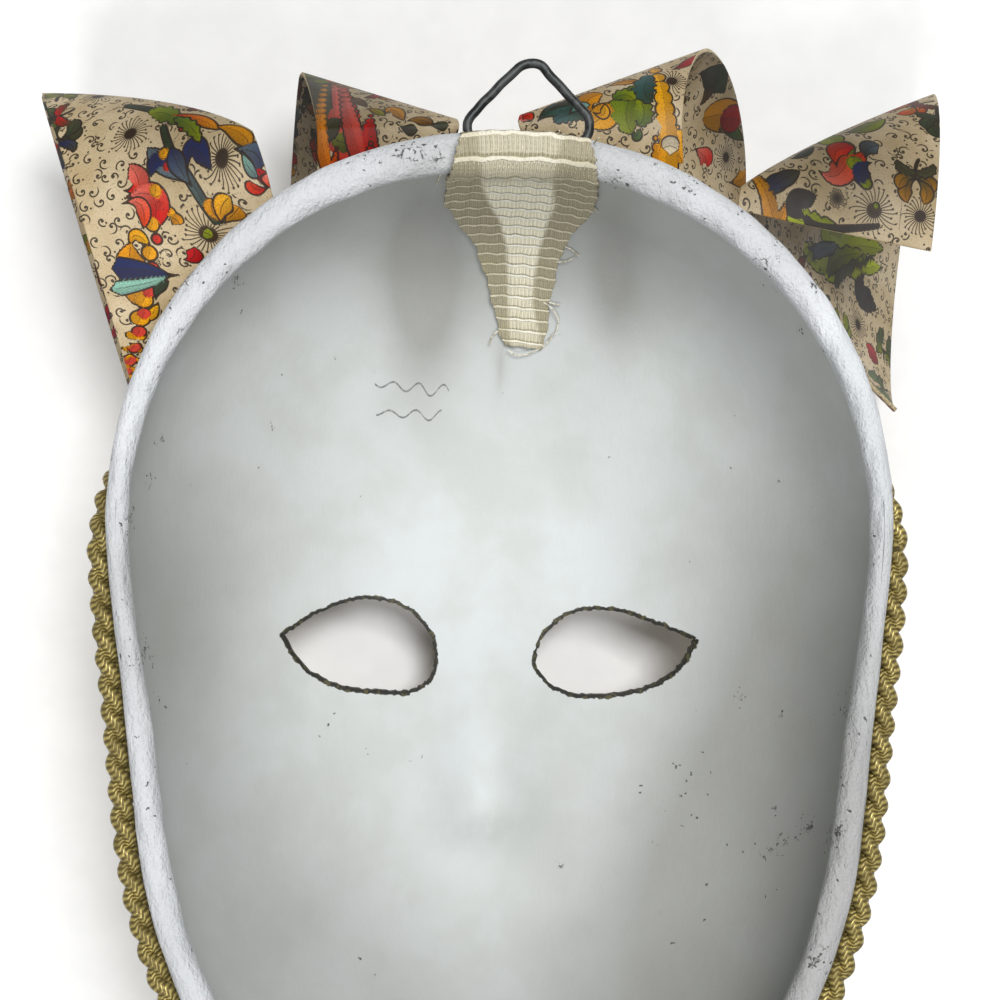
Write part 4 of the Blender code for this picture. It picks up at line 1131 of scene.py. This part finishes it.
def thicken(piece, name, thickness, rim_finish=0):
    """Gives a sheet its thickness inwards, and its cut rim a finish of its own."""
    card = piece.modifiers.new(name, "SOLIDIFY")
    card.thickness = thickness
    card.offset = -1.0
    card.material_offset_rim = rim_finish


printed_paper = paper_finish()
card_edge = fibre_finish(
    "card_edge", (1600.0, 4.0, 0.7), (0.4, 0.65), tone(206, 190, 156), tone(150, 130, 96)
)
for name, form in CORNETS.items():
    end = form.start + form.sweep
    turns = np.radians(np.concatenate([np.linspace(form.start, 0, 76)[:-1], np.linspace(0, end, 170)]))
    shares = np.linspace(TIP_CUT, 1, 145)
    sheet_grid = cornet_surface(form, turns, shares) + seated_shift(name, form)
    flat = unrolled(sheet_grid, 75 + int(169 * 90 / end))
    faces = grid_faces(len(shares), len(turns), False)
    faces = faces if form.side > 0 else faces[:, ::-1]
    cornet = add_piece(name.replace("paper_", ""), sheet_grid, faces, [printed_paper, card_edge])
    seen = seen_at(sheet_grid.reshape(-1, 3))
    print_sheet(name, cornet.data, flat, seen, sheet_grid.reshape(-1, 3)[:, 2])
    # Stores the painted shade of the sheet.
    add_values(cornet.data, "paper_shade", near_places(seen, PAINTED_PAPER_SHADE[name]))
    thicken(cornet, "card", CARD, 1)
    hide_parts(name)

# Wire hanger
# One length of dark steel wire, bent by hand to a triangle with round corners; its base bar lies on the
# rim under the cloth and its peak stands out past the crown.
WIRE = 0.0024
WIRE_SEEN = 0.0021
FIT_GAP = 0.0004
WIRE_CORNERS = [(0.0067, 0.0979), (-0.0130, 0.0779), (0.0252, 0.0779)]
WIRE_BEND = 0.0042


def rounded_triangle(corners, radius, steps):
    """Plan points of a triangle whose corners are arcs: each arc's middle lies on the corner's halving
    line, at radius over the sine of half its angle."""
    corners = np.array(corners)
    points = []
    for index, corner in enumerate(corners):
        before = corners[index - 1] - corner
        after = corners[(index + 1) % 3] - corner
        before, after = unit(before), unit(after)
        half = math.acos(float(before @ after)) / 2
        middle = corner + unit(before + after) * radius / math.sin(half)
        first = corner + before * radius / math.tan(half) - middle
        last = corner + after * radius / math.tan(half) - middle
        spokes = first + np.linspace(0, 1, steps)[:, None] * (last - first)
        points.append(middle + unit(spokes) * radius)
    return np.concatenate(points)


def way_along(points):
    """How far each point of a path lies along it: the summed length of the steps."""
    return np.concatenate([[0.0], np.cumsum(np.linalg.norm(np.diff(points, axis=0), axis=1))])


def even_path(points, count, closed):
    """The path through the points at even distances along it, by linear steps on its summed length."""
    points = np.asarray(points, float)
    points = np.concatenate([points, points[:1]]) if closed else points
    walked = way_along(points)
    stops = np.linspace(0, walked[-1], count + closed)[: count]
    return np.stack([np.interp(stops, walked, points[:, axis]) for axis in range(3)], axis=-1)


def tube(path, radius, sides, closed, upright=(0.0, 0.0, 1.0)):
    """Ring points and quads of a round tube along a path: each ring is spanned by the cross product of
    the upright way and the path's heading, and by the vector square to both. Open ends get caps."""
    path = np.asarray(path, float)
    if closed:
        heading = np.roll(path, -1, axis=0) - np.roll(path, 1, axis=0)
    else:
        heading = np.gradient(path, axis=0)
    heading = unit(heading)
    sideways = unit(np.cross(upright, heading))[:, None]
    upward = np.cross(heading, sideways[:, 0])[:, None]
    turn = (np.arange(sides) * 2 * math.pi / sides)[None, :, None]
    spokes = np.cos(turn) * sideways + np.sin(turn) * upward
    points = (path[:, None] + radius * spokes).reshape(-1, 3)
    faces = grid_faces(len(path), sides, True, closed).tolist()
    if not closed:
        last = (len(path) - 1) * sides
        faces.append(list(range(sides))[::-1])
        faces.append([last + i for i in range(sides)])
    return points, faces


def wire_finish():
    """Bare steel gone dark: brown-black and grey patches, dull, with fine draw marks."""
    finish, tree, shader = new_finish("dark_wire", Metallic=0.75)
    place = own_place(tree)
    patches = cloud(place, 260.0, 4.0, 0.65)
    feed(shader, Base_Color=blend(between(patches, 0.38, 0.62), tone(46, 48, 48), tone(80, 82, 82)))
    feed(shader, Roughness=between(patches, 0.3, 0.7, 0.42, 0.62))
    rough_skin(shader, cloud(place, 1400.0, 3.0), 0.00008)
    return finish


plan = rounded_triangle(WIRE_CORNERS, WIRE_BEND, 12)
wire_z = RIM_HEIGHT + FIT_GAP + WIRE / 2
wire_path = even_path(np.column_stack([plan, np.full(len(plan), wire_z)]), 220, True)
step = np.arange(220) * 2 * math.pi / 220
wire_path[:, 0] += 0.00012 * np.sin(5 * step) + 0.00008 * np.sin(11 * step + 1)
wire_path[:, 1] += 0.00012 * np.sin(4 * step + 2) + 0.00006 * np.sin(13 * step)
wire = add_piece("hanger_wire_bent", *tube(wire_path, WIRE_SEEN / 2, 20, True), [wire_finish()])
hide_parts("hanger_wire")

# Cloth tab
# A strip of open-weave cotton soaked in glue, laid over the wire's base bar and down the inside of the
# forehead. A doubled bright strip runs down its middle; thinner, glue-dark wings spread beside it.
TAB_THICK = 0.0006
TAB_GAP = 0.0005
TAB_END_Y = 0.0405
BAR_Y = 0.0779

# Left and right edges of the cloth and of its bright strip, as pixels of the picture.
CLOTH_ROWS = [118, 150, 173, 197, 216, 243, 272, 299, 331, 345]
CLOTH_LEFT = [474, 456, 445, 444, 456, 475, 485, 492, 499, 506]
CLOTH_RIGHT = [566, 594, 599, 594, 577, 562, 555, 549, 546, 542]
STRIP_LEFT = [470, 476, 478, 486, 497, 504, 505, 505, 507, 508]
STRIP_RIGHT = [572, 560, 556, 558, 550, 542, 537, 535, 542, 543]
STRIP_FADE = 0.0012

# How much of the paler strip shows, as painted light and shade along it, by pixel rows of the picture.
PAINTED_LIGHT_ROWS = [118, 165, 182, 240, 290, 345]
PAINTED_LIGHT = [0.3, 0.3, 1.0, 1.0, 0.7, 0.4]

# Distances between threads down the cloth, between its thick picks and between its fine ones.
WARP_PITCH = 0.00095
PICK_PITCH = 0.0031
FINE_PITCH = 0.00062


def last_place(low, high, holds):
    """The last place from low to high at which something still holds, found by halving the interval."""
    for _ in range(40):
        middle = (low + high) / 2
        here = holds(middle)
        low, high = np.where(here, middle, low), np.where(here, high, middle)
    return (low + high) / 2


def angle_at(x, k):
    """The angle at which the skin near the crown reaches a given x."""
    low, high = np.full(np.shape(x), 0.15), np.full(np.shape(x), math.pi - 0.15)
    return last_place(low, high, lambda t: skin(t, k)[..., 0] > x)


def plan_at(spot_x, spot_y, z):
    """The plan point that the camera sees at a pixel, at a given height: seen_at turned round."""
    shrink = CAMERA_RISE / (CAMERA_RISE + RIM_HEIGHT - z)
    pixel = VIEW_WIDTH / 1000
    x = ((np.asarray(spot_x) - 500) * pixel - CAMERA_X) / shrink + CAMERA_X
    return x, (500 - np.asarray(spot_y)) * pixel / shrink


def gauze_finish():
    """Open weave: warp and weft as two sine combs on the cloth's own flat places, bright where a thread
    stands up, brown-grey film of glue between. The third number of the weave attribute moves the middle
    strip towards its paler colours, by the strip's width times painted light and shade along its rows, and
    a dark band beside each thick pick is its painted shadow."""
    finish, tree, shader = new_finish("open_weave_cloth", Roughness=0.62, Specular_IOR_Level=0.4)
    weave = stored(tree, "weave", 1)
    place = own_place(tree)
    x, y, _ = split(shaken(place, 260.0, 0.0010, weave))
    strip = split(weave)[2]
    strands = between((x * (2 * math.pi / WARP_PITCH)).math("SINE"), -0.3, 0.5)
    turn = y * (2 * math.pi / PICK_PITCH)
    picks = between(turn.math("SINE"), 0.72, 0.93)
    fine_picks = (y * (2 * math.pi / FINE_PITCH)).math("SINE")
    speckle = cloud(place, 1900.0, 4.0, 0.72)
    thread = strands * between(fine_picks, -0.9, 0.5, 0.55, 1.0)
    thread = thread * between(speckle, 0.33, 0.62, 0.45, 1.0)
    thread = thread.math("MAXIMUM", picks * 0.8)
    # The strip's near-white tones are partly the doubled cloth's own paleness, partly painted light for a
    # strip that faces away from the lamps.
    film = blend(strip, tone(158, 150, 124), tone(250, 242, 214))
    colour = blend(thread, film, blend(strip, tone(196, 187, 160), tone(255, 251, 232)))
    colour = blend(picks * 0.75, colour, blend(strip, tone(216, 209, 186), tone(255, 253, 244)))
    # Painted shadow: a dark band beside each thick pick.
    below = between((turn + 1.0).math("SINE"), 0.80, 0.97)
    colour = blend(below * 0.70, colour, tone(150, 142, 112))
    glue = between(cloud(place, 75.0, 4.0, 0.6), 0.52, 0.72, 0.0, 0.25)
    feed(shader, Base_Color=blend(glue, colour, tone(176, 166, 128)))
    rough_skin(shader, thread, 0.00030)
    return finish


end_k = last_place(2.05, 2.95, lambda k: skin(math.pi / 2, k)[1] > TAB_END_Y)
cloth_k = np.concatenate([np.linspace(1.32, 2.0, 60)[:-1], np.linspace(2.0, end_k, 110)])
ridge = skin(math.pi / 2, cloth_k)
ridge_row = seen_at(ridge)[:, 1]
edges = []
for spots in (CLOTH_LEFT, CLOTH_RIGHT, STRIP_LEFT, STRIP_RIGHT):
    edge_x, _ = plan_at(np.interp(ridge_row, CLOTH_ROWS, spots), ridge_row, ridge[:, 2])
    edges.append(edge_x)
ragged = 0.00022 * np.sin(cloth_k * 95) + 0.00016 * np.sin(cloth_k * 231 + 1)
across = np.linspace(0, 1, 64)
cloth_x = edges[0][:, None] + ragged[:, None] + (edges[1] - edges[0])[:, None] * across
k_grid = np.broadcast_to(cloth_k[:, None], cloth_x.shape)
cloth_t = angle_at(cloth_x, k_grid)
foot = skin(cloth_t, k_grid)
lift_way = skin_normal(cloth_t, np.where(k_grid < 2.02, np.minimum(k_grid, 1.72), k_grid))
over_bar = (FIT_GAP + WIRE + 0.0005) * np.exp(-(((foot[..., 1] - BAR_Y) / 0.0046) ** 4))
over_bar = np.where(k_grid < 1.9, over_bar, 0.0)
strip = np.clip((cloth_x - edges[2][:, None]) / STRIP_FADE, 0, 1)
strip = strip * np.clip((edges[3][:, None] - cloth_x) / STRIP_FADE, 0, 1)
ripple = 0.00018 * np.sin(cloth_x * 1500 + 2 * np.sin(foot[..., 1] * 300)) + 0.00035 * strip
cloth_grid = foot + lift_way * (TAB_GAP + TAB_THICK + over_bar + 0.00025 + ripple)[..., None]
walked = way_along(ridge)
cloth_faces = grid_faces(len(cloth_k), len(across), False)[:, ::-1]
cloth = add_piece("gauze_strip", cloth_grid, cloth_faces, [gauze_finish()])
# The strip mask times painted light and shade by rows.
strip_painted_light = strip * np.interp(ridge_row, PAINTED_LIGHT_ROWS, PAINTED_LIGHT)[:, None]
weave = np.stack([cloth_x, np.broadcast_to(walked[:, None], cloth_x.shape), strip_painted_light], axis=-1)
add_values(cloth.data, "weave", weave)
thicken(cloth, "cloth", TAB_THICK)


def on_inside(spots, lift):
    """Points that the camera sees at pixels of the picture, a lift above the inner surface or the rim:
    the height is found by putting each guess back into the surface a few times."""
    spots = np.asarray(spots, float)
    z = np.full(len(spots), 0.08)
    for _ in range(12):
        x, y = plan_at(spots[:, 0], spots[:, 1], z)
        z = inside_height(x, y) + lift
    return np.stack([x, y, z], axis=-1)


def smooth_path(points, count):
    """A path bent evenly through the points: linear steps, then five rounds of averaging neighbours."""
    path = even_path(points, count, False)
    for _ in range(5):
        path[1:-1] = (path[:-2] + 2 * path[1:-1] + path[2:]) / 4
    return path


# Loose threads at the cloth's edge, each a path of pixels of the picture.
FRAYED = [
    [(536, 290), (541, 296), (550, 303), (560, 305)],
    [(543, 302), (552, 308), (559, 320), (556, 334), (549, 338)],
    [(552, 338), (541, 348), (529, 354), (516, 356), (508, 350)],
    [(553, 158), (562, 166), (566, 178), (574, 183), (578, 174), (571, 163)],
    [(556, 176), (563, 187), (572, 190), (583, 187)],
    [(584, 197), (592, 206), (598, 212)], [(560, 245), (571, 249), (579, 256)],
    [(556, 262), (566, 262), (574, 258)], [(470, 140), (463, 146), (460, 156)],
    [(446, 170), (440, 176), (437, 184)], [(498, 331), (492, 336), (490, 344)],
    [(552, 150), (566, 148), (578, 152), (588, 160)],
]
thread_points, thread_faces = [], []
for index, spots in enumerate(FRAYED):
    lift = 0.0012 + 0.0004 * (index % 3)
    points, faces = tube(smooth_path(on_inside(spots, lift), 40), 0.00016, 8, False)
    base = sum(len(part) for part in thread_points)
    thread_points.append(points)
    thread_faces += [[base + corner for corner in face] for face in faces]
cotton = fibre_finish(
    "cotton_thread", (1500.0, 3.0), (0.4, 0.62), tone(226, 220, 200), tone(168, 160, 136)
)
threads = add_piece("frayed_threads", np.concatenate(thread_points), thread_faces, [cotton])
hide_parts("gauze_tab")

# Gold braid
# A plait of three gilt cords, glued round the jaw under the rim and across the front of the forehead
# below the cornets. The cords cross by a sine across the band and a sine of twice the turn through it.
BRAID_WIDTH = 0.0078
BRAID_THICK = 0.0056
BRAID_DROP = 0.0075
BRAID_BROW_REACH = 0.057
PLAIT_LENGTH = 0.018
CORD_RADIUS = 0.00165
CORD_SIDES = 10
CORD_STEPS = 1150
WINDING = 0.00085


def braid_share(t):
    """The k that the braid follows at angle t: the highest one that is a drop below the rim and inside
    the oval of the hairline."""

    def under_rim(k):
        x, y, z = np.moveaxis(skin(t, k), -1, 0)
        above = np.maximum(y - WIDEST_Y, 0.0) / BRAID_BROW_REACH
        return (z < RIM_HEIGHT - BRAID_DROP) & ((x / FACE_HALF_WIDTH) ** 2 + above**2 < 1)

    return last_place(np.full(t.shape, 0.30), np.full(t.shape, 1.0), under_rim)


def braid_finish():
    """Gilt thread wound on cord: gold on the ridges, and olive-brown as painted shade in the creases
    between the windings.
    """
    finish, tree, shader = new_finish("gilt_cord", Metallic=0.45)
    along, around, _ = split(stored(tree, "wound", 1))
    ridge = between((along * (2 * math.pi / WINDING) + around).math("SINE"), -0.7, 0.8)
    worn = cloud(own_place(tree), 320.0, 4.0, 0.65)
    gold = blend(between(worn, 0.36, 0.64), tone(196, 178, 108), tone(142, 128, 74))
    # Painted shade: the creases between the windings are darkened to olive-brown.
    feed(shader, Base_Color=blend(ridge, tone(106, 92, 50), gold))
    feed(shader, Roughness=between(worn, 0.3, 0.7, 0.36, 0.56))
    rough_skin(shader, ridge, 0.00010)
    return finish


turns = np.arange(64) * 2 * math.pi / 64
path_k = braid_share(turns)
for _ in range(4):
    path_k = (np.roll(path_k, 1) + 2 * path_k + np.roll(path_k, -1)) / 4
fine = np.linspace(0, 2 * math.pi, 2881)
fine_k = np.interp(fine, np.append(turns, 2 * math.pi), np.append(path_k, path_k[:1]))
line = skin(fine, fine_k)
walked = way_along(line)
stops = np.arange(CORD_STEPS) / CORD_STEPS * walked[-1]
fine_t = np.interp(stops, walked, fine)
fine_k = np.interp(stops, walked, fine_k)
foot = skin(fine_t, fine_k)
out = skin_normal(fine_t, fine_k)
onward = unit(np.roll(foot, -1, axis=0) - np.roll(foot, 1, axis=0))
broad = np.cross(out, onward)
plaits = round(walked[-1] / PLAIT_LENGTH)
phase = stops / walked[-1] * plaits * 2 * math.pi
around = np.arange(CORD_SIDES) * 2 * math.pi / CORD_SIDES
wound = np.zeros((CORD_STEPS, CORD_SIDES, 3))
wound[..., 0] = stops[:, None]
wound[..., 1] = around[None, :]
braid_points, braid_faces = [], []
for cord in range(3):
    turn = phase + cord * 2 * math.pi / 3
    shift = (BRAID_WIDTH / 2 - CORD_RADIUS) * np.sin(turn)
    rise = FIT_GAP + 0.0003 + BRAID_THICK / 2 + (BRAID_THICK / 2 - CORD_RADIUS) * np.sin(2 * turn)
    middle = foot + broad * shift[:, None] + out * rise[:, None]
    points, faces = tube(middle, CORD_RADIUS, CORD_SIDES, True, out)
    braid_points.append(points)
    braid_faces.append(np.array(faces) + cord * len(points))
braid = add_piece(
    "plaited_braid", np.concatenate(braid_points), np.concatenate(braid_faces).tolist(), [braid_finish()]
)
add_values(braid.data, "wound", np.concatenate([wound] * 3))
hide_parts("gold_braid")

# Floor and light
# A plain pale sweep of paper under the mask, a soft light above and beyond the crown, and a weaker one
# above and beyond the chin.
FLOOR_HALF = 3.0
FLOOR_Z = -0.0006

floor_mesh = bpy.data.meshes.new("floor")
floor_corners = [(x * FLOOR_HALF, y * FLOOR_HALF, FLOOR_Z) for x, y in ((-1, -1), (1, -1), (1, 1), (-1, 1))]
floor_mesh.from_pydata(floor_corners, [], [(0, 1, 2, 3)])
floor = put_in_scene("floor", floor_mesh)
finish, tree, shader = new_finish("pale_floor", Roughness=0.9)
grain = cloud(own_place(tree), 90.0, 4.0)
feed(shader, Base_Color=blend(between(grain, 0.3, 0.7), tone(243, 243, 242), tone(239, 239, 238)))
floor_mesh.materials.append(finish)


def soft_light(name, place, aim, size, watts):
    """A square area light at a place, turned to face its aim."""
    data = bpy.data.lights.new(name, "AREA")
    data.shape = "SQUARE"
    data.size = size
    data.energy = watts
    light = put_in_scene(name, data)
    away = unit(np.array(place) - np.array(aim))
    light.location = place
    light.rotation_euler = (math.acos(away[2]), 0.0, math.atan2(away[1], away[0]) + math.pi / 2)


soft_light("crown_light", (0.20, 0.34, 1.20), (0.0, -0.02, 0.03), 0.46, 13.5)
soft_light("foot_light", (-0.25, -0.80, 1.05), (0.0, 0.05, 0.05), 0.40, 6.5)
world = bpy.data.worlds.new("studio")
world.use_nodes = True
sky = world.node_tree.nodes["Background"]
sky.inputs["Color"].default_value = (0.96, 0.98, 1.0, 1.0)
sky.inputs["Strength"].default_value = 0.20
bpy.context.scene.world = world
bpy.context.scene.view_settings.view_transform = "Standard"
